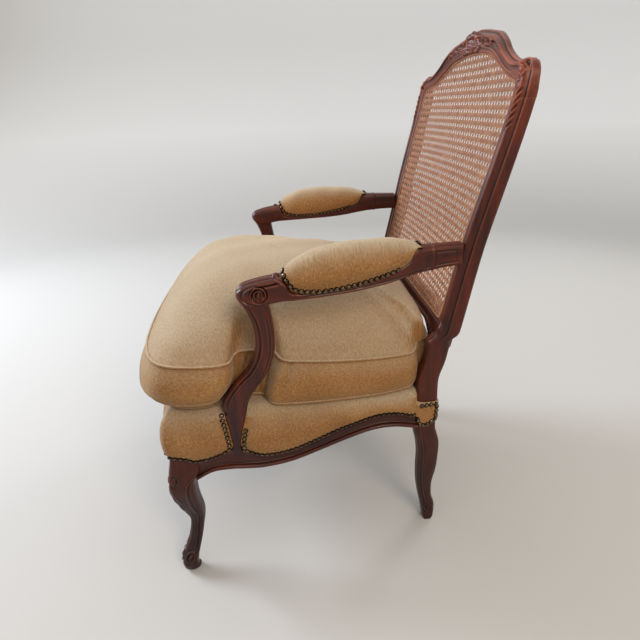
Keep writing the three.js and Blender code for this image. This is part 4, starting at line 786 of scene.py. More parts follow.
def makePosts():
    legTable = smoothTable([
        # height, front edge, rear edge, place of the outer face, width
        (0, 0.88, 1.3, 0, 0.74), (0.03, 0.84, 1.39, 0.01, 0.88), (0.13, 0.7, 1.39, 0.05, 0.9),
        (0.22, 0.54, 1.2, 0.14, 0.8), (0.34, 0.38, 1.14, 0.3, 0.78), (0.47, 0.3, 1.26, 0.5, 0.84),
        (0.6, 0.28, 1.28, 0.7, 0.92), (0.7, 0.18, 1.24, 0.87, 0.97), (0.77, 0.05, 1.1, 0.97, 1),
        (0.83, 0, 0.99, 1, 1), (1, 0, 0.99, 1, 1),
    ], 16)
    neckTable = smoothTable([
        (0.08, 0, 0.99, 0, 1), (0.36, 0.02, 0.98, 0.1, 1), (0.6, 0.24, 1.18, 0.3, 0.98),
        (0.78, 0.32, 1.26, 0.55, 0.98), (0.92, 0.3, 1.28, 0.85, 0.96), (1.04, 0.26, 1.22, 1.02, 0.94),
    ], 12)
    rings, depths = [], []
    for height, front, rear, place, width in legTable:
        z = height * seat["railTop"]
        width *= seat["postWidth"]
        x, y, a, b = plainRing(mix(back["footOuter"], seat["rearHalf"], place), width, front, rear)
        rings.append(np.stack([x, y, np.full(len(x), z)], 1))
        deep = (rear - front) * seat["postDepth"]
        on, fore = ease(0.72, 0.95, -a), (1 + b) / 2 * deep
        fade = ease(290, 268, z) * ease(52, 70, z)
        carve = -on * fade * (1.6 * ridge(fore - 8.5, 1.6) + 0.8 * ridge(fore - 14.5, 1.3))
        carve += on * fade * 0.9 * ridge(fore - 11.5, 1.4)
        r = np.hypot(fore - deep * 0.5, (z - leg["toe"]) * 0.8)
        carve += on * (2.2 * ridge(r, 3.4) - 1.7 * ridge(r - 6.2, 1.5) + 1.4 * ridge(r - 9.6, 2)
                       - 1.6 * ridge(r - 13, 1.5)) * ease(16.5, 13.5, r)
        carve -= ease(0.72, 0.95, -b) * fade * 1.1 * ridge(a, 0.2)
        depths.append(carve)
    for height, front, rear, place, width in neckTable[:-6]:
        z = mix(seat["railTop"], back["stileFoot"], height)
        outer = mix(seat["rearHalf"], stileOuter(back["stileFoot"]), place)
        x, y, a, b = plainRing(outer, width * seat["postWidth"], front, rear)
        ring = np.stack([x, y, np.full(len(x), z)], 1)
        rings.append(mix(ring, stileRing(z), ease(488, 508, z)))
        depths.append(np.zeros(len(x)))
    across, deep = stileFine.T
    for z in np.linspace(510, back["stileTop"] + 1, 190):
        rings.append(stileRing(z))
        face = ease(0.1, 0.16, across) * ease(0.6, 0.54, across) * (deep < 0.3)
        carve = face * (3.0 * ridge(z - 517, 7) - 1.4 * ridge(z - 529, 3))
        carve += face * ease(858, 868, z) * 1.5 * frondCarving(z, across)
        depths.append(carve)
    piece = loftPiece("rearPost", carved(rings, np.array(depths)), "z", sharp=60)
    finishPair(piece, wood, "rear_post")


crest = {"scroll": (259, 946), "shell": 996, "shellReach": 38, "sprayLength": 100}
crestTable = smoothTable([
    # outer edge across and up, inner edge across and up, how far the section is a hollow panel
    (1, 0, 0.89, 0, 0), (1, 0.16, 0.886, 0.1, 0), (0.99, 0.32, 0.872, 0.17, 0),
    (0.95, 0.42, 0.843, 0.21, 0.1), (0.885, 0.46, 0.797, 0.24, 0.3), (0.797, 0.45, 0.737, 0.27, 0.6),
    (0.71, 0.5, 0.666, 0.32, 0.9), (0.6, 0.615, 0.567, 0.41, 1), (0.5, 0.76, 0.468, 0.5, 1),
    (0.375, 0.875, 0.36, 0.59, 1), (0.23, 0.935, 0.226, 0.64, 1), (0.107, 0.98, 0.106, 0.665, 1),
    (0, 1, 0, 0.672, 1),
], 20)


def crestPoint(across, up):
    return across * back["half"], back["stileTop"] + up * (back["peak"] - back["stileTop"])


def makeCrest():
    twin = crestTable[:-1][::-1] * (-1, 1, -1, 1, 1)
    rings, depths = [], []
    for outAcross, outUp, inAcross, inUp, hollow in np.vstack([crestTable, twin]):
        (xo, zo), (xi, zi) = crestPoint(outAcross, outUp), crestPoint(inAcross, inUp)
        across = mix(stileFine[:, 0], panelFine[:, 0], hollow)
        shoulder = mix(back["topDepth"], back["shoulderDepth"], ease(0, 0.34, outUp))
        deep = mix(stileFine[:, 1] * shoulder, panelFine[:, 1] * back["crestDepth"], hollow)
        x, z = mix(xo, xi, across), mix(zo, zi, across)
        rings.append(np.stack([x, backFace(x, z) + deep, z], 1))
        front = (deep < 14).astype(float)
        carve = np.zeros(len(x))
        # leaf fronds up the stile and round the shoulder
        side = ease(0.1, 0.16, across) * ease(0.6, 0.54, across) * front * (1 - ease(0, 0.5, hollow))
        carve += side * 1.5 * frondCarving(z, across) * ease(926, 914, z)
        # scroll at the shoulder: the panel's end curls round under a deep crescent cut
        dx, dz = np.abs(x) - crest["scroll"][0], z - crest["scroll"][1]
        r, turn = np.hypot(dx * 0.9, dz), np.arctan2(dz, dx)
        cut = ease(-2.2, -1.2, turn) * ease(2.3, 1.5, turn)
        carve += front * (3.4 * ridge(r, 5.5) * ease(13, 8, r) - 5.0 * cut * ridge(r - 10, 2.2)
                          + 1.8 * cut * ridge(r - 14.5, 2.2))
        # shell at the middle of the panel
        cx, cz = np.abs(x), z - crest["shell"]
        reach = np.hypot(cx * 0.86, cz * 1.1)
        fan = np.abs(np.cos(np.arctan2(cz + 14, cx) * 3.5)) ** 0.8
        panel = front * ease(0.1, 0.16, across) * ease(1.0, 0.9, across) * ease(0.4, 1, hollow)
        edge = crest["shellReach"]
        carve += panel * ease(edge, edge - 8, reach) * (2.2 + 5.0 * fan * ease(5, 14, reach))
        carve -= panel * 2.2 * ridge(reach - edge - 1, 2.4)
        # leaf sprays running down both sides of it
        run = (cx - edge - 1) / crest["sprayLength"]
        inside = ease(0, 0.06, run) * ease(1, 0.75, run)
        middle = 0.46 + 0.06 * np.sin(run * 7)
        half = 0.27 * (1 - 0.55 * run)
        leaf = inside * ease(1.0, 0.6, np.abs(across - middle) / half)
        notch = 0.5 + 0.5 * np.cos(run * 23 - np.abs(across - middle) * 12)
        carve += panel * leaf * (0.8 + 3.8 * notch)
        carve -= panel * leaf * 1.7 * ridge((across - middle) / 0.02, 1)
        depths.append(carve)
    piece = loftPiece("crestRail", carved(rings, np.array(depths)), "x", sharp=60)
    markRelief(piece)
    finishPiece(piece, wood, nodes=("crest_rail",))


def lowerRailEdge(x):
    return back["railEdge"] + back["railCurve"] * (x / back["railHalf"]) ** 2


def makeLowerRail():
    half = stileOuter(510) - back["stileWidth"] + 4
    across, deep = stileFine.T
    rings, depths = [], []
    for x in np.linspace(-half, half, 230):
        height = back["railHeight"] + back["railCorner"] * ease(150, 240, abs(x))  # deeper into the corners
        z = lowerRailEdge(x) - (1 - across) * height
        rings.append(np.stack([np.full(len(z), x), backFace(x, z) + deep * stileDepth(z), z], 1))
        face = ease(0.1, 0.18, across) * ease(0.6, 0.54, across) * (deep < 0.3)
        r = np.hypot(x * 0.9, z - 495)
        fan = np.abs(np.cos(np.arctan2(z - 488, x) * 4)) ** 0.8
        carve = face * ease(17, 12, r) * (1 + 2 * fan * ease(2, 6, r))
        run = (abs(x) - 18) / 44
        carve += face * (ease(0, 0.1, run) * ease(1, 0.8, run)) * (0.6 + 1.2 * np.cos(run * 30) ** 2)
        corner = ease(195, 225, abs(x))
        carve += face * corner * 1.3 * frondCarving(abs(x), across, 13)
        depths.append(carve)
    piece = loftPiece("lowerBackRail", carved(rings, np.array(depths)), "x", sharp=60)
    markRelief(piece)
    finishPiece(piece, wood, nodes=("lower_back_rail",))


makeArmSupports()
makeArms()
makePosts()
makeCrest()
makeLowerRail()
print("arms and back carved")

# Cloth, cane, brass and the plain things under the seat

# Cotton chenille in old gold: a short ribbed pile, so it looks soft and mottled, warm brown along the
# sides, with the upper faces painted pale as painted light from above. Real ribs are about 1.5 mm wide
# and the pile is finer still, too fine to show, so both are drawn coarser.
chenilleLook = {
    "shade": "#845931", "gold": "#AA7B4B", "pale": "#C89F69", "paintedTopLight": "#BBAE96", "sheen": "#F2E8D0",
    "ribMm": 2.8, "ribLengthMm": 3.846, "strandMm": 3.6, "strandLengthMm": 6, "pileMm": 3.0, "clumpMm": 80,
}


def makeChenille():
    look = chenilleLook
    material, shader = newMaterial("chenillePile", Roughness=0.88, Sheen_Weight=0.35,
                                   Sheen_Roughness=0.45, Sheen_Tint=linear(look["sheen"]),
                                   Specular_IOR_Level=0.2)
    weave = addNode(material, "ShaderNodeAttribute", {"attribute_name": "weave"})
    place = addNode(material, "ShaderNodeTexCoord")
    ribMap = addNode(material, "ShaderNodeMapping",
                     values={"Scale": (1000 / look["ribMm"], 1000 / look["ribLengthMm"], 1)},
                     links={"Vector": weave.outputs["Vector"]})
    ribs = addNode(material, "ShaderNodeTexNoise", values={"Scale": 1.0, "Detail": 2.0},
                   links={"Vector": ribMap.outputs[0]})
    strandMap = addNode(material, "ShaderNodeMapping",
                        values={"Scale": (1000 / look["strandMm"], 1000 / look["strandLengthMm"], 1)},
                        links={"Vector": weave.outputs["Vector"]})
    strands = addNode(material, "ShaderNodeTexNoise", values={"Scale": 1.0, "Detail": 2.0},
                      links={"Vector": strandMap.outputs[0]})
    pile = addNode(material, "ShaderNodeTexNoise",
                   values={"Scale": 1000 / look["pileMm"], "Detail": 3.0, "Roughness": 0.65},
                   links={"Vector": place.outputs["Object"]})
    clump = addNode(material, "ShaderNodeTexNoise",
                    values={"Scale": 1000 / look["clumpMm"], "Detail": 3.0, "Distortion": 0.5},
                    links={"Vector": place.outputs["Object"]})
    speckle = addNode(material, "ShaderNodeMix", {"data_type": "FLOAT"}, {0: 0.5},
                      {2: pile.outputs[0], 3: strands.outputs[0]})
    mottle = addNode(material, "ShaderNodeMix", {"data_type": "FLOAT"}, {0: 0.25},
                     {2: speckle.outputs[0], 3: clump.outputs[0]})
    tone = addNode(material, "ShaderNodeValToRGB", links={0: mottle.outputs[0]},
                   stops=[(0.3, look["shade"]), (0.5, look["gold"]), (0.72, look["pale"])])
    split = addNode(material, "ShaderNodeSeparateXYZ", links={0: place.outputs["Normal"]})
    # upper faces are painted paler, as painted light falling from above
    topLightShare = addNode(material, "ShaderNodeMapRange",
                    values={"From Min": 0.05, "From Max": 0.85, "To Min": 0.0, "To Max": 0.72},
                    links={0: split.outputs[2]})
    paintedTopLight = addNode(material, "ShaderNodeMix", {"data_type": "RGBA"}, {7: linear(look["paintedTopLight"])},
                    {0: topLightShare.outputs[0], 6: tone.outputs[0]})
    ribShade = addNode(material, "ShaderNodeMapRange",
                       values={"From Min": 0.3, "From Max": 0.7, "To Min": 0.78, "To Max": 1.1},
                       links={0: ribs.outputs[0]})
    ribbed = addNode(material, "ShaderNodeMix", {"data_type": "RGBA", "blend_type": "MULTIPLY"},
                     {0: 1.0}, {6: paintedTopLight.outputs[2], 7: ribShade.outputs[0]})
    height = addNode(material, "ShaderNodeMath", {"operation": "ADD"},
                     links={0: ribs.outputs[0], 1: pile.outputs[0]})
    bump = addNode(material, "ShaderNodeBump", values={"Strength": 0.7, "Distance": 0.0012},
                   links={"Height": height.outputs[0]})
    material.node_tree.links.new(ribbed.outputs[2], shader.inputs["Base Color"])
    material.node_tree.links.new(bump.outputs[0], shader.inputs["Normal"])
    return material


# Rattan cane, split from the stem's glossy skin and stained honey: blotched, with fine flecks.
rattanLook = {"dark": "#7C4B2D", "honey": "#9E6640", "pale": "#BA875C", "blotchMm": 11.11, "fleckMm": 1.111}


def makeCane():
    look = rattanLook
    material, shader = newMaterial("rattanCane", Roughness=0.48)
    place = addNode(material, "ShaderNodeTexCoord")
    blotch = addNode(material, "ShaderNodeTexNoise", values={"Scale": 1000 / look["blotchMm"], "Detail": 3.0},
                     links={"Vector": place.outputs["Object"]})
    fleck = addNode(material, "ShaderNodeTexNoise", values={"Scale": 1000 / look["fleckMm"], "Detail": 2.0},
                    links={"Vector": place.outputs["Object"]})
    both = addNode(material, "ShaderNodeMix", {"data_type": "FLOAT"}, {0: 0.4},
                   {2: blotch.outputs[0], 3: fleck.outputs[0]})
    tone = addNode(material, "ShaderNodeValToRGB", links={0: both.outputs[0]},
                   stops=[(0.34, look["dark"]), (0.5, look["honey"]), (0.68, look["pale"])])
    material.node_tree.links.new(tone.outputs[0], shader.inputs["Base Color"])
    return material


# Pressed brass nail heads with an antique finish: the domes are rubbed bright, the rims stay black-brown.
brassLook = {"black": "#100C0A", "brown": "#33281F", "rubbed": "#7E6A52", "patchMm": 3.846}


def makeBrass():
    look = brassLook
    material, shader = newMaterial("antiqueBrass", Metallic=1.0, Roughness=0.32)
    relief = addNode(material, "ShaderNodeAttribute", {"attribute_name": "relief"})
    place = addNode(material, "ShaderNodeTexCoord")
    patches = addNode(material, "ShaderNodeTexNoise", values={"Scale": 1000 / look["patchMm"], "Detail": 2.0},
                      links={"Vector": place.outputs["Object"]})
    both = addNode(material, "ShaderNodeMath", {"operation": "MULTIPLY"},
                   links={0: relief.outputs["Fac"], 1: patches.outputs[0]})
    tone = addNode(material, "ShaderNodeValToRGB", links={0: both.outputs[0]},
                   stops=[(0.08, look["black"]), (0.3, look["brown"]), (0.58, look["rubbed"])])
    material.node_tree.links.new(tone.outputs[0], shader.inputs["Base Color"])
    return material


# Plain woven jute webbing and black cambric: dull cloth with a square weave. Cambric's threads are
# far finer than 1.2 mm, and are drawn at that so that they show.
weaveLooks = {  # low and high tone, and the space between threads in millimetres
    "juteWebbing": ("#5A452A", "#A98C5E", 2.4), "blackCambric": ("#0B0B0B", "#262524", 1.2),
}


def makeWeave(name):
    low, high, threadMm = weaveLooks[name]
    material, shader = newMaterial(name, Roughness=0.95, Specular_IOR_Level=0.15)
    place = addNode(material, "ShaderNodeTexCoord")
    # at scale 1 this texture has some 3.2 bands to the metre, two threads each
    scale = 1000 / threadMm / 6.5
    waves = [addNode(material, "ShaderNodeTexWave", {"bands_direction": axis},
                     {"Scale": scale, "Distortion": 1.0, "Detail": 1.0},
                     {"Vector": place.outputs["Object"]}) for axis in "XY"]
    cross = addNode(material, "ShaderNodeMath", {"operation": "MULTIPLY"},
                    links={0: waves[0].outputs[1], 1: waves[1].outputs[1]})
    tone = addNode(material, "ShaderNodeValToRGB", links={0: cross.outputs[0]},
                   stops=[(0, low), (0.7, high)])
    bump = addNode(material, "ShaderNodeBump", values={"Strength": 0.4, "Distance": 0.0006},
                   links={"Height": cross.outputs[0]})
    material.node_tree.links.new(tone.outputs[0], shader.inputs["Base Color"])
    material.node_tree.links.new(bump.outputs[0], shader.inputs["Normal"])
    return material


# Beech blocks and rear rail, planed and left bare: pale, dry and finely flecked.
beechLook = {"fleck": "#A77B52", "pale": "#CFA87C", "fleckMm": 2.5, "fleckLengthMm": 16.67}


def makeBeech():
    look = beechLook
    material, shader = newMaterial("bareBeech", Roughness=0.6)
    place = addNode(material, "ShaderNodeTexCoord")
    flecks = [1000 / look[key] for key in ("fleckLengthMm", "fleckMm", "fleckMm")]
    stretch = addNode(material, "ShaderNodeMapping", values={"Scale": flecks},
                      links={"Vector": place.outputs["Object"]})
    fleck = addNode(material, "ShaderNodeTexNoise", values={"Scale": 1.0, "Detail": 3.0},
                    links={"Vector": stretch.outputs[0]})
    tone = addNode(material, "ShaderNodeValToRGB", links={0: fleck.outputs[0]},
                   stops=[(0.35, look["fleck"]), (0.65, look["pale"])])
    material.node_tree.links.new(tone.outputs[0], shader.inputs["Base Color"])
    return material


chenille, cane, brass = makeChenille(), makeCane(), makeBrass()
jute, cambric, beech = makeWeave("juteWebbing"), makeWeave("blackCambric"), makeBeech()
print("cloth, cane and brass made")


def setWeave(piece, ribs, along):  # place across the ribs and along them, in millimetres
    count = len(piece.data.vertices)
    values = np.zeros((count, 3))
    values[:len(ribs), 0] = np.asarray(ribs) * 0.001
    values[:len(along), 1] = np.asarray(along) * 0.001
    storeValues(piece.data, "weave", "FLOAT_VECTOR", values)


def tubeSkin(path, radius, sides=10):  # a cord's skin round a closed path
    path = np.asarray(path, float)
    tangent = np.roll(path, -1, 0) - np.roll(path, 1, 0)
    tangent /= np.linalg.norm(tangent, axis=1, keepdims=True) + 1e-9
    reference = np.array([0.03, 0.05, 1.0])
    side = np.cross(tangent, reference)
    side /= np.linalg.norm(side, axis=1, keepdims=True) + 1e-9
    other = np.cross(side, tangent)
    angle = 2 * math.pi * np.arange(sides) / sides
    rings = path[:, None] + radius * (side[:, None] * np.cos(angle)[None, :, None]
                                      + other[:, None] * np.sin(angle)[None, :, None])
    points, faces = loftSkin(np.concatenate([rings, rings[:1]]), capped=False)
    count = len(path) * sides
    return points[:count], [[i % count for i in face] for face in faces]


def joinSkins(skins):
    points, faces = [], []
    for skinPoints, skinFaces in skins:
        offset = sum(len(p) for p in points)
        points.append(np.asarray(skinPoints))
        faces.extend([[i + offset for i in face] for face in skinFaces])
    return np.vstack(points), faces


# Nailed seat deck

deck = {
    "frontTop": 398, "backTop": 374, "crown": 20, "swell": 9.5, "edge": 16, "rearHem": 302, "bottom": 349,
    "patchTop": 352, "patchShare": 0.6,  # the cloth's patch on each post ends at this height
    "round": 14, "cutLevel": 318,  # corners of the cut beside the arm supports, and its level
    "middleY": -19,
}


def deckTop(x, y):
    along = np.clip((y - seat["frontY"]) / (seat["rearY"] - seat["frontY"]), 0, 1)
    rise = deck["crown"] * np.maximum(0, 1 - (x / seat["frontHalf"]) ** 2) * (1 - (2 * along - 1) ** 2)
    return mix(deck["frontTop"], deck["backTop"], along) + rise


def seatPlan():  # one side of the seat frame, from the middle of the front to the middle of the back
    corner = seat["corner"]
    half = [(x, frontFace(x)) for x in np.arange(0, seat["frontHalf"] - corner, 4.0)]
    for turn in np.linspace(0, math.pi / 2, 9):
        half.append((seat["frontHalf"] - corner + corner * math.sin(turn),
                     seat["frontY"] + corner - corner * math.cos(turn)))
    small = 6  # radius of the rear corners
    half += [(sideFace(y), y) for y in np.arange(seat["frontY"] + corner + 4, seat["rearY"] - small, 3.0)]
    for turn in np.linspace(0, math.pi / 2, 6):
        half.append((seat["rearHalf"] - small + small * math.cos(turn),
                     seat["rearY"] - small + small * math.sin(turn)))
    half += [(x, seat["rearY"]) for x in np.arange(seat["rearHalf"] - 10, 1, -4.0)]
    half.append((0, seat["rearY"]))
    return np.array(half)


def closeLoop(half):
    return np.vstack([half, half[1:-1][::-1] * (-1, 1)])


def outwardOf(loop):
    step = np.roll(loop, -1, 0) - np.roll(loop, 1, 0)
    way = np.stack([step[:, 1], -step[:, 0]], 1)
    return way / (np.linalg.norm(way, axis=1, keepdims=True) + 1e-9)


def edgeLevel(share):
    return seat["kneeTop"] + edgeUnit * share


def hemHeight(x, y):  # height of the cloth's lower edge: back, post, side rail, front rail, leg block
    x = abs(x)
    if y > seat["rearY"] - 2 and x < seat["rearHalf"] - 8:
        return deck["rearHem"]
    if y >= postLine:
        shares = (0.7, 0.38, 0.36, 0.52, 0.56)
        return edgeLevel(np.interp((y - postLine) / 55, (0, 0.15, 0.3, 0.8, 1), shares))
    if y > sideFront:
        return sideLevel(y, 2) + cornerRise(y)
    if x <= frontHalf:
        return frontLevel(x, 2)
    if y > seat["frontY"] + 6:
        return edgeLevel(np.interp((sideFront - y) / seat["legBlock"], (0, 0.3, 1), (0.26, 0.36, 0.46)))
    return edgeLevel(np.interp((x - frontHalf) / seat["legBlock"], (0, 0.3, 1), (0.42, 0.36, 0.46)))


def cornerRise(y):  # the cloth is cut to a rounded corner beside each arm support
    fore, hind, _ = supportAt(deck["cutLevel"])
    gap = np.clip(np.maximum(fore - y, y - hind), 0, deck["round"]) / deck["round"]
    return deck["round"] * (1 - np.sqrt(1 - (1 - gap) ** 2))


def makeDeck():
    loop = closeLoop(seatPlan())
    out = outwardOf(loop)
    around = len(loop)
    s = runLength(loop)
    hem = np.array([hemHeight(x, y) for x, y in loop]) + 1.5
    y = loop[:, 1]
    aside = np.abs(loop[:, 0])
    onPost = (y >= postLine - 1) & (aside > seat["rearHalf"] - seat["postWidth"])
    edge = loop - out * deck["edge"]
    top = deckTop(*edge.T)
    rows, ribs, along = [], [], []
    profile = [  # height of the side and its bulge, from the nails up to the rounded top edge
        (0, 0.14), (0.02, 0.3), (0.06, 0.58), (0.12, 0.82), (0.2, 0.98), (0.3, 1.06), (0.42, 1.04),
        (0.54, 0.9), (0.66, 0.66), (0.77, 0.3), (0.86, -0.15), (0.93, -0.75), (0.975, -1.25), (1.0, -1.68),
    ]
    for up, swell in smoothTable(profile, 3):
        height = mix(hem, top, up)
        fore, hind, _ = supportAt(height)
        gap = np.maximum(np.maximum(fore - y, y - hind), 0)
        # the side lies flat where it is held by a support or a post, and bulges further off
        free = ease(0, 24, gap) * ease(0, 20, np.maximum(postLine - y, 0))
        free = np.where(y > seat["rearY"] - 3, ease(0, 18, 226 - aside), free)
        bulge = swell * deck["swell"]
        reach = np.where(swell > 0, mix(1.2, bulge, free), bulge)
        reach += 0.5 * ease(0.5, 0, up) * ripple(s, 2, 9.1, 13.7) * free
        reach += 1.2 * free * ripple(s + up * 40, 5, 140, 83) * ease(0, 0.2, up)
        # on a post it is a flat patch, and above that it goes in behind the post's front
        patch, share = deck["patchTop"], deck["patchShare"]
        if up < share:
            postHeight, postReach = mix(hem, patch, up / share), 1.4
        else:
            postHeight = mix(patch + 0.5, top, (up - share) / (1 - share))
            postReach = -9 + (bulge * 0.4 if up > 0.9 else 0)
        height = np.where(onPost, postHeight, height)
        reach = np.where(onPost, postReach, reach)
        rows.append(np.column_stack([loop + out * reach[:, None], height]))
        ribs.append(s)
        along.append(height)
    centre = np.array([0, deck["middleY"]])
    for share in (0.985, 0.96, 0.92, 0.86, 0.78, 0.68, 0.56, 0.44, 0.32, 0.2, 0.09):
        flat = centre + (edge - centre) * share
        rise = deckTop(*flat.T) + 0.8 * ripple(flat[:, 0] * 0.7 + flat[:, 1], 3, 170, 97)
        rows.append(np.column_stack([flat, rise]))
        ribs.append(flat[:, 1])
        along.append(flat[:, 0])
    bottom = np.full(around, deck["bottom"])
    below = [np.column_stack([centre + (edge - centre) * share, bottom]) for share in (0.2, 0.6, 0.9)]
    for inside, height in ((3, bottom), (2.5, hem + 3), (1.5, hem - 0.6)):  # up against the rails
        below.append(np.column_stack([loop - out * inside, height]))
    points, faces = loftSkin(np.array(below + rows))
    piece = meshPiece("seatDeck", points, faceOut(points, faces), "z", sharp=80)
    spare = np.zeros(len(below) * around)
    setWeave(piece, np.r_[spare, np.concatenate(ribs)], np.r_[spare, np.concatenate(along)])
    finishPiece(piece, chenille, nodes=("deck_cover", "deck_pad"))
    return piece


# Arm pads

pad = {"front": -46, "back": 196, "half": 33, "flatShare": 0.45, "around": 84}
padTable = smoothTable([  # along, width share, height of the crown's line over the floor
    (0, 0.22, 652), (0.015, 0.42, 664), (0.05, 0.64, 675), (0.13, 0.86, 687), (0.25, 0.97, 696),
    (0.39, 1, 701), (0.57, 1, 703), (0.76, 0.96, 700), (0.86, 0.88, 696), (0.93, 0.74, 691),
    (0.975, 0.5, 686), (1, 0.3, 682),
], 6)


def makePads():
    around, flat = pad["around"], pad["flatShare"]
    a, b = roundedSquare(2.5, around).T
    places = np.array([armAt(t)[:4] for t in np.linspace(0, 1, 400)])
    rings, ribs, along = [], [], []
    ends = np.linspace(0, 0.1, 14)  # finer at both ends
    for share in np.r_[ends[:-1], np.linspace(0.1, 0.9, 60)[:-1], ends + 0.9]:
        y = mix(pad["front"], pad["back"], share)
        width, crown = readTable(padTable, share, 1), readTable(padTable, share, 2)
        bottom = min(np.interp(y, places[:, 0], places[:, 2]) - 1, crown - 5)
        middle = np.interp(y, places[:, 0], places[:, 3])
        height = crown - bottom
        rise = np.maximum(0, (b + flat) / (1 + flat))  # the lower part of the section is cut off flat
        waist = 1 - 0.2 * ease(0.35, 0, rise)
        pucker = 0.7 * ripple(y, 4, 9, 12.5) * ease(0.3, 0.02, rise) * (rise > 0)
        lump = 1.0 * ripple(y + a * 20, 7, 110, 61) * ease(0.1, 0.6, rise)
        x = middle - a * (pad["half"] * width * waist + pucker + lump)
        rings.append(np.stack([x, np.full(around, y), bottom + height * rise + lump * rise], 1))
        ribs.append(np.full(around, y))
        along.append(bottom + height * rise - a * 30)
    points, faces = loftSkin(rings)
    piece = meshPiece("armPad", points, faceOut(points, faces), "y", sharp=80)
    setWeave(piece, np.concatenate(ribs), np.concatenate(along))
    for half in finishPair(piece, chenille, "arm_pad", relief=False):
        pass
    return piece


# Loose cushion: a top and a bottom panel joined by a band, piped along both seams

cushion = {
    "frontY": -322, "rearY": 229, "earHalf": 317, "notchHalf": 257, "tailHalf": 225, "centreY": -62,
    "frontBox": 110, "rearBox": 78, "crown": 117, "pull": 10, "rest": 1.5, "piping": 2.7,
    "hang": 28, "lean": 26,  # the front sinks forwards, and the notches lean with the supports
    "curl": 24, "curlIn": 12,  # the front's lower seam is rolled up and under
    "tailRise": 24, "plump": 27, "tailBulge": 13,  # the rear is pushed up between the posts
    "wrinkle": 5.5, "crease": 8, "dip": 7,  # folds at the notches
}


def cushionOutline():
    ears = [(0, 0), (0.26, 0.002), (0.5, 0.01), (0.7, 0.024), (0.86, 0.05), (0.95, 0.085), (0.99, 0.13),
            (1, 0.19), (0.985, 0.234), (0.95, 0.261), (0.87, 0.272)]
    notch = [(1.018, 0.29), (1, 0.33), (1, 0.385), (1.02, 0.412)]
    body = [(0.962, 0.43), (0.992, 0.452), (1.0, 0.49), (1.008, 0.56), (1.008, 0.65), (1.0, 0.75),
            (0.985, 0.83), (0.955, 0.9), (0.915, 0.945)]
    tail = [(1, 0.965), (0.99, 1.0), (0.704, 1.018), (0.352, 1.021), (0, 1.021)]
    yAt = lambda share: mix(cushion["frontY"], cushion["rearY"], share)
    half = [(share * cushion["earHalf"], yAt(t)) for share, t in ears]
    half += [(share * cushion["notchHalf"], yAt(t)) for share, t in notch]
    half += [(share * sideFace(yAt(t)), yAt(t)) for share, t in body]
    half += [(share * cushion["tailHalf"], yAt(t)) for share, t in tail]
    fine = smoothTable(half, 8)
    length = runLength(fine)
    at = np.linspace(0, length[-1], 200)
    return closeLoop(np.stack([np.interp(at, length, fine[:, k]) for k in (0, 1)], 1))


def cushionShare(y):
    return (y - cushion["frontY"]) / (cushion["rearY"] - cushion["frontY"])


def boxing(y):  # height of the band
    rise = cushion["tailRise"] * ease(0.93, 1, cushionShare(y))
    return mix(cushion["frontBox"], cushion["rearBox"], cushionShare(y)) + rise


def restLevel(x, y):  # the cushion's underside follows the deck
    return deckTop(np.clip(x, -290, 290), y) + cushion["rest"]


def softened(loop, rounds):  # the loop with its corners and notches smoothed away
    for _ in range(rounds):
        loop = (np.roll(loop, 1, 0) + loop + np.roll(loop, -1, 0)) / 3
    return loop


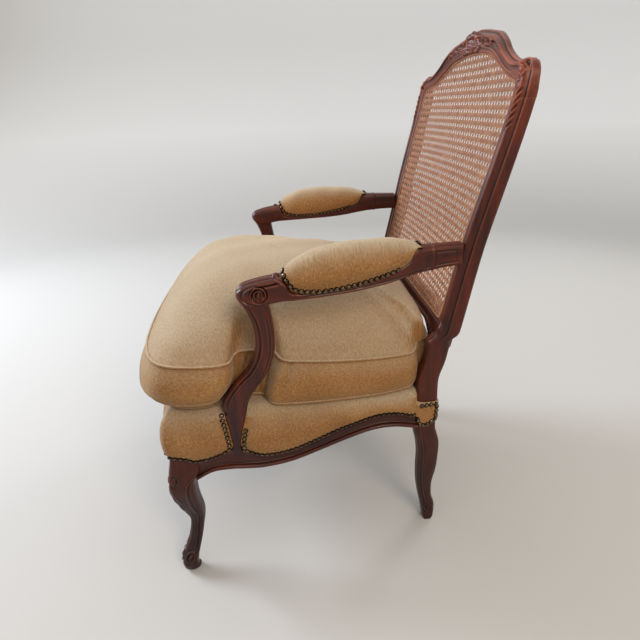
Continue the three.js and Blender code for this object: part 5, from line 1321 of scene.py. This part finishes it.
def makeCushion():
    loop = cushionOutline()
    out = outwardOf(loop)
    s = runLength(loop)
    share = cushionShare(loop[:, 1])
    inNotch = ease(0.245, 0.3, share) * ease(0.44, 0.4, share) * (np.abs(loop[:, 0]) < 290)

    def placed(outward, lean, hang):  # the outline moved outwards, leant at the notches, hung at the front
        flat = loop + out * np.asarray(outward)[..., None]
        inside = ease(0.13, 0.25, share) * (1 - ease(0.58, 0.8, share))
        ahead = 1 - ease(0, 0.13, share)
        flat[:, 1] += lean * cushion["lean"] * inside - hang * cushion["hang"] * ahead
        return flat

    side = smoothTable([
        # height of the band, outward bulge, lean of the notch, hang of the front
        (-0.005, -1.9, 0, 0.2), (0.0, -1.0, 0, 0.35), (0.015, -0.55, 0, 0.5), (0.045, -0.15, 0, 0.68),
        (0.085, 0.2, 0.02, 0.82), (0.15, 0.52, 0.06, 0.92), (0.25, 0.78, 0.16, 0.76),
        (0.38, 0.92, 0.32, 0.64), (0.52, 0.96, 0.5, 0.5), (0.66, 0.86, 0.66, 0.37),
        (0.78, 0.64, 0.8, 0.24), (0.88, 0.34, 0.91, 0.14), (0.95, 0.1, 0.97, 0.06), (1.0, 0.0, 1, 0),
    ], 3)
    rows, ribs, along = [], [], []
    curled = 1 - ease(0.27, 0.36, share)
    for up, bulge, lean, hang in side:
        tuck = cushion["curlIn"] * curled * min(max((0.05 - up) / 0.055, 0), 1)
        lift = cushion["curl"] * curled * (1 - up) ** 2 * (0.3 if up < 0.01 else 1)
        wrinkle = inNotch * ripple(s + up * 9, 3, 11, 17) * ease(0, 0.2, up) * ease(1.02, 0.8, up)
        seamGap = np.minimum(np.abs(up - 0.05), np.abs(1 - up)) * 90
        pucker = 1.1 * ripple(s, 6, 14, 23, 37) * np.exp(-seamGap / 9) * (up > 0.06)
        lump = 1.8 * ripple(s + up * 30, 8, 190, 120) * math.sin(math.pi * min(max(up, 0), 1))
        crease = ridge(share - 0.462, 0.009) * (np.abs(loop[:, 0]) > 270) * ease(0.05, 0.3, up)
        swell = bulge * cushion["pull"] * (1 - 0.5 * inNotch) - tuck
        folds = cushion["wrinkle"] * wrinkle - cushion["crease"] * crease
        flat = placed(swell + folds + pucker + lump, lean, hang)
        rows.append(np.column_stack([flat, restLevel(*flat.T) + boxing(loop[:, 1]) * up + lift]))
        ribs.append(rows[-1][:, 2])
        along.append(s)
    seam = placed(0, 1, 0)
    seamZ = restLevel(*seam.T) + boxing(loop[:, 1])
    centre = np.array([0, cushion["centreY"]])
    softSeam = softened(seam, 500)
    crown = smoothTable([
        (1, 0), (0.988, 0.045), (0.965, 0.125), (0.93, 0.25), (0.86, 0.45), (0.76, 0.68), (0.62, 0.87),
        (0.44, 0.97), (0.22, 1), (0.04, 1),
    ], 4)[1:]
    for inner, rise in crown:
        blend = ease(1.0, 0.7, inner)
        base = mix(seam, softSeam, blend * 0.9)
        flat = centre + (base - centre) * inner
        level = mix(seamZ, restLevel(*flat.T) + boxing(flat[:, 1]), blend)
        lump = (2.6 * ripple(flat[:, 0] + flat[:, 1] * 0.6, 9, 210, 130)
                + 1.6 * ripple(flat[:, 0] * 0.4 - flat[:, 1], 12, 90, 160)) * ease(1, 0.85, inner)
        pucker = 1.2 * ripple(s, 10, 15, 24, 41) * np.exp(-(1 - inner) * 260 / 14)
        dip = cushion["dip"] * inNotch * ridge(inner - 0.93, 0.06)
        bulge = cushion["tailBulge"] * ease(0.93, 0.97, share) * ridge(inner - 0.965, 0.03)
        flat[:, 0] += np.sign(flat[:, 0]) * bulge
        full = cushion["plump"] * ease(0.9, 0.99, share) * ease(1, 0.965, inner) * ease(0.55, 0.85, inner)
        rows.append(np.column_stack([flat, level + rise * cushion["crown"] + lump + pucker - dip + full]))
        ribs.append(flat[:, 1])
        along.append(flat[:, 0])
    below = []
    for inner in (0.05, 0.3, 0.6, 0.85, 0.96):
        flat = centre + (placed(-18 - cushion["curlIn"] * curled, 0, 0.1) - centre) * inner
        below.append(np.column_stack([flat, restLevel(*flat.T) - 0.8]))
        ribs.insert(0, flat[:, 1])
        along.insert(0, flat[:, 0])
    points, faces = loftSkin(np.array(below + rows))
    body = meshPiece("seatCushion", points, faceOut(points, faces), "y", sharp=80)
    setWeave(body, np.concatenate(ribs), np.concatenate(along))
    finishPiece(body, chenille, body="cushion", nodes=("seat_cushion",))
    low = placed(-1.2, 0, 0.68)
    lowZ = restLevel(*low.T) + boxing(loop[:, 1]) * 0.045 + cushion["curl"] * curled * 0.91
    skins = [
        tubeSkin(np.column_stack([seam + out * 1.6, seamZ + 0.4]), cushion["piping"]),
        tubeSkin(np.column_stack([low + out * 0.8, lowZ]), cushion["piping"]),
    ]
    points, faces = joinSkins([(p, faceOut(p, f)) for p, f in skins])
    piping = meshPiece("cushionPiping", points, faces, "y", sharp=80)
    setWeave(piping, points[:, 2], points[:, 1])
    finishPiece(piping, chenille, body="cushion")


seatDeck = makeDeck()
armPads = makePads()
makeCushion()
print("deck, pads and cushion covered")

# Woven cane: pairs of upright and level strands, crossed by two sets of slanting ones

caneWeave = {
    "pitch": 13.6, "pairGap": 4.2, "width": 3.0, "thick": 0.5, "recess": 9, "spline": 2.2,
    "wave": 0.35, "slantWave": 0.45,  # how far strands move to pass over and under
}
archTable = np.array(sorted((crestPoint(row[2], row[3]) for row in crestTable)))


def caneHalf(z):
    return stileOuter(np.minimum(z, back["stileTop"])) - back["stileWidth"]


def caneInside(x, z, reach):
    high = np.interp(np.abs(x), archTable[:, 0], archTable[:, 1]) + reach
    return (z > lowerRailEdge(x) - reach) & (z < high) & (np.abs(x) < caneHalf(z) + reach)


def strandSkin(x, z, depth, width):
    y = backFace(x, z) + caneWeave["recess"] + depth
    path = np.stack([x, y, z], 1)
    way = np.gradient(path, axis=0)
    way /= np.linalg.norm(way, axis=1, keepdims=True)
    front = np.array([0, -0.977, 0.213])  # square to the raked panel
    across = np.cross(way, front)
    across /= np.linalg.norm(across, axis=1, keepdims=True)
    shape = [(-0.5, 0), (-0.3, 1), (0.3, 1), (0.5, 0), (0.3, -0.7), (-0.3, -0.7)]
    thick = caneWeave["thick"]
    rings = np.stack([path + across * (width * u) + front * (thick * v) for u, v in shape], 1)
    return loftSkin(rings)


def makeCanePanel():
    pitch, gap, base = caneWeave["pitch"], caneWeave["pairGap"] / 2, back["railEdge"]
    step = pitch / 4
    skins = []

    def lay(x, z, depth, width=caneWeave["width"]):  # one strand, cut off where the frame's groove ends
        keep = caneInside(x, z, 3.5)
        if keep.sum() < 4:
            return
        runs = np.split(np.arange(len(x)), np.where(np.diff(keep.astype(int)) != 0)[0] + 1)
        for run in runs:
            if keep[run[0]] and len(run) > 3:
                skins.append(strandSkin(x[run], z[run], depth[run], width))

    zs = np.arange(505, 1000, step)
    xs = np.arange(-262, 262, step)
    for k in range(-19, 20):
        for side in (-1, 1):
            wave = np.cos(math.pi * (zs - zs[0]) / pitch + (k + (side > 0)) * math.pi)
            lay(np.full(len(zs), k * pitch + side * gap), zs, caneWeave["wave"] * wave)
    for k in range(37):
        for side in (-1, 1):
            wave = np.cos(math.pi * xs / pitch + (k + (side > 0)) * math.pi)
            lay(xs, np.full(len(xs), base + k * pitch + side * gap), -caneWeave["wave"] * wave)
    xs = np.arange(-280, 280, step / 1.4)
    for slope in (-1, 1):
        for k in range(-40, 78):
            zs = base + pitch * (k + 0.5) + slope * xs
            # over the level pairs and under the upright ones, or the other way round
            wave = np.cos(2 * math.pi * (zs - base) / pitch) - np.cos(2 * math.pi * xs / pitch)
            lay(xs, zs, -caneWeave["slantWave"] * slope * wave - 0.1, caneWeave["width"] * 0.95)
    points, faces = joinSkins(skins)
    piece = meshPiece("canePanel", points, faces, "z", sharp=80)
    finishPiece(piece, cane, nodes=("cane_panel",))
    # round cane spline that wedges the panel into its groove
    rim = [(x, lowerRailEdge(x) + 1.2) for x in np.arange(-caneHalf(520) + 4, caneHalf(520) - 3, 4.0)]
    rim += [(caneHalf(z) - 1.4, z) for z in np.arange(530, 908, 6.0)]
    arch = [(x, z - 1.2) for x, z in archTable if abs(x) < caneHalf(915) - 3]
    rim += sorted(arch, reverse=True)
    rim += [(-x, z) for x, z in arch if x > 0]
    rim += [(-caneHalf(z) + 1.4, z) for z in np.arange(902, 526, -6.0)]
    rim = softened(np.array(rim), 2)
    path = [(x, backFace(x, z) + caneWeave["recess"] - 1.0, z) for x, z in rim]
    points, faces = tubeSkin(path, caneWeave["spline"])
    spline = meshPiece("caneSpline", points, faceOut(points, faces), "z", sharp=80)
    finishPiece(spline, cane)


makeCanePanel()
print("cane woven")

# Nail heads

nail = {"radius": 4.8, "height": 3.8, "pitch": 9.8, "sides": 14, "aboveHem": 5.5}


def treeOf(*pieces):
    points, faces = [], []
    for piece in pieces:
        offset = len(points)
        points += [v.co.copy() for v in piece.data.vertices]
        faces += [[offset + i for i in p.vertices] for p in piece.data.polygons]
    return BVHTree.FromPolygons(points, faces)


def castLine(path, way, tree):  # lays a drawn line on a surface and marks a nail every pitch
    path = np.asarray(path, float)
    length = np.r_[0, np.cumsum(np.linalg.norm(np.diff(path, axis=0), axis=1))]
    at = np.arange(0, length[-1], 0.7)
    dense = np.stack([np.interp(at, length, path[:, k]) for k in range(3)], 1)
    found, last, run = [], None, nail["pitch"]
    for point in dense:
        start = Vector((point - (0, backSet, 0)) * 0.001)
        hit, normal, _, _ = tree.ray_cast(start, Vector(way), 0.6)
        if hit is None:
            continue
        if last is not None:
            run += (hit - last).length * 1000
        last = hit
        if run >= nail["pitch"]:
            run = 0
            found.append((hit, normal if normal.dot(Vector(way)) < 0 else -normal))
    return found


def makeNails(name, marks):
    profile = [(1.0, -0.2), (1.03, 0.16), (0.94, 0.5), (0.71, 0.8), (0.36, 0.97)]
    rubbed = np.r_[np.repeat((0, 0.1, 0.5, 0.85, 1), nail["sides"]), 0, 1]  # most on top of the dome
    skins = []
    angle = 2 * math.pi * np.arange(nail["sides"]) / nail["sides"]
    for hit, normal in marks:
        up = np.array(normal)
        side = np.cross(up, (0.31, 0.17, 0.93))
        side /= np.linalg.norm(side)
        other = np.cross(up, side)
        middle = np.array(hit) * 1000 + (0, backSet, 0)
        rings = [middle + up * nail["height"] * h + nail["radius"] * r
                 * (side * np.cos(angle)[:, None] + other * np.sin(angle)[:, None]) for r, h in profile]
        dome, faces = loftSkin(rings)
        dome[-1] += up * nail["height"] * 0.05  # its last point is the middle of the top
        skins.append((dome, faces))
    points, faces = joinSkins([(p, faceOut(p, f)) for p, f in skins])
    piece = meshPiece(name, points, faces, "z", sharp=80)
    storeValues(piece.data, "relief", "FLOAT", np.tile(rubbed, len(skins)))
    finishPiece(piece, brass)
    return piece


def nailAll():
    deckTree = treeOf(seatDeck)
    far = 450  # the lines are drawn this far out, and cast on to the cloth
    above, turn = nail["aboveHem"], deck["round"]
    side = [(y, sideLevel(y, 2) + above) for y in np.linspace(sideFront, postLine - 2, 80)]
    fore, hind, _ = supportAt(deck["cutLevel"])
    foreLevel, hindLevel = sideLevel(fore - turn, 2) + turn, sideLevel(hind + turn, 2) + turn
    quarter = np.linspace(0, math.pi / 2, 8)
    bend = [((turn - above) * math.sin(t), (turn - above) * math.cos(t)) for t in quarter]
    front = [(y, z) for y, z in side if y < fore - turn - 1]
    front += [(fore - turn + s, foreLevel - c) for s, c in bend]
    rear = [(hind + turn - s, hindLevel - c) for s, c in bend[::-1]]
    rear += [(y, z) for y, z in side if y > hind + turn + 1]
    up = [(supportAt(z)[0] - above, z) for z in np.linspace(front[-1][1] + 2, 384, 20)]
    down = [(supportAt(z)[1] + above, z) for z in np.linspace(346, rear[0][1] + 2, 12)]
    corner = [(seat["frontY"] + 6, edgeLevel(0.45) + above), (sideFront - 15, edgeLevel(0.36) + above)]
    post = [(postLine + y, edgeLevel(share) + above) for y, share in ((8, 0.4), (20, 0.37), (40, 0.52))]
    post += [(postLine + 43, 347), (postLine + 3, 347)]
    marks = []
    for path in (corner + front + up, down + rear + post):
        for way in (-1, 1):
            marks += castLine([(-way * far, y, z) for y, z in path], (way, 0, 0), deckTree)
    across = [(x, -far, frontLevel(x, 2) + above) for x in np.linspace(-frontHalf, frontHalf, 140)]
    ends = [(frontHalf + 15, -far, edgeLevel(0.36) + above),
            (seat["frontHalf"] - 8, -far, edgeLevel(0.45) + above)]
    whole = [(-x, y, z) for x, y, z in ends[::-1]] + across + ends
    marks += castLine(whole, (0, 1, 0), deckTree)
    marks += castLine([(x, far, deck["rearHem"] + above) for x in (-252, 252)], (0, -1, 0), deckTree)
    makeNails("deckNails", marks)
    padTree = treeOf(armPads)
    # along the lower edge of the pad, turning up at both ends
    path = [(-44, 666), (-41, 656), (-35, 645), (-25, 636), (-12, 632), (15, 630), (49, 632), (83, 636.5),
            (118, 643.5), (144, 650), (165, 656), (180, 666), (188, 678), (192, 690)]
    outer = castLine([(far, y, z) for y, z in path], (-1, 0, 0), padTree)
    inner = castLine([(200, y, z) for y, z in path], (1, 0, 0), padTree)
    flip = lambda v: Vector((-v[0], v[1], v[2]))
    makeNails("armNailsLeft", outer + inner)
    makeNails("armNailsRight", [(flip(h), flip(n)) for h, n in outer + inner])


nailAll()
print("nails driven")

# Under the seat: webbing, dust cover, corner blocks and the rear rail

under = {
    "strap": 52, "thick": 1.6, "level": 345.3, "cross": 1.9, "wave": 0.4,  # webbing, and how it is woven
    "coverLevel": 317.2, "sag": 5, "frontTurn": 18, "coverWidth": 0.515,
}


def makeWebbing():
    skins = []
    section = [(-0.5, 0), (-0.5, 1), (0, 1.15), (0.5, 1), (0.5, 0), (0, -0.1)]
    for k in range(5):
        y = mix(seat["frontY"], seat["rearY"], (k + 1) / 6)
        half = sideFace(y) - seat["railThick"] / 2
        xs = np.linspace(-half, half, 60)
        lift = under["level"] + under["wave"] * np.cos(xs / 85 * math.pi + k * math.pi)
        skins.append(loftSkin([[(x, y + u * under["strap"], z + v * under["thick"]) for u, v in section]
                               for x, z in zip(xs, lift)]))
    for k in range(5):
        x = mix(-frontHalf, frontHalf, (k + 1) / 6)
        ys = np.linspace(seat["frontY"] + 13, seat["rearY"] - 13, 60)
        lift = under["level"] + under["cross"] - under["wave"] * np.cos(ys / 90 * math.pi + k * math.pi)
        skins.append(loftSkin([[(x + u * under["strap"], y, z + v * under["thick"]) for u, v in section]
                               for y, z in zip(ys, lift)]))
    points, faces = joinSkins([(p, faceOut(p, f)) for p, f in skins])
    nodes = [f"strap_{way}_{k}" for way in ("across", "along") for k in range(1, 6)]
    finishPiece(meshPiece("seatWebbing", points, faces, "x"), jute, nodes=nodes)


def makeDustCover():
    inside, clear = seat["railThick"] + 0.3, seat["railThick"] + 0.6
    inFront, inRear = seat["frontY"] + inside, seat["rearY"] - inside
    start, columns = inFront - under["frontTurn"], 80
    rows = []
    for y in np.linspace(start, inRear, 70):
        half = sideFace(y) - clear
        if y < sideFront + 1:  # between the front legs, then between the posts
            half = min(half, frontHalf - 0.6)
        elif y > postLine - 1:
            half = seat["rearHalf"] - seat["postWidth"] - 0.9
        xs = np.linspace(-half, half, columns)
        ys = np.maximum(y, frontFace(xs) + clear)
        sag = under["sag"] * (1 - (xs / half) ** 2) * math.sin(math.pi * (y - start) / (inRear - start))
        gather = 0.5 * ripple(xs, 3, 31, 47) * ridge(y - inFront, 40)
        rows.append(np.column_stack([xs, ys, under["coverLevel"] - sag + gather]))
    faces = gridFaces(len(rows), columns, closed=False)
    piece = meshPiece("dustCover", np.vstack(rows), faces, "x")
    finishPiece(piece, cambric, nodes=("dust_cover",))


makeWebbing()
makeDustCover()
for name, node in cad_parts.items():
    if "corner_block" in name or name == "rear_seat_rail":
        node.data.materials.clear()
        node.data.materials.append(beech)
print("underside closed")

print("stages done")
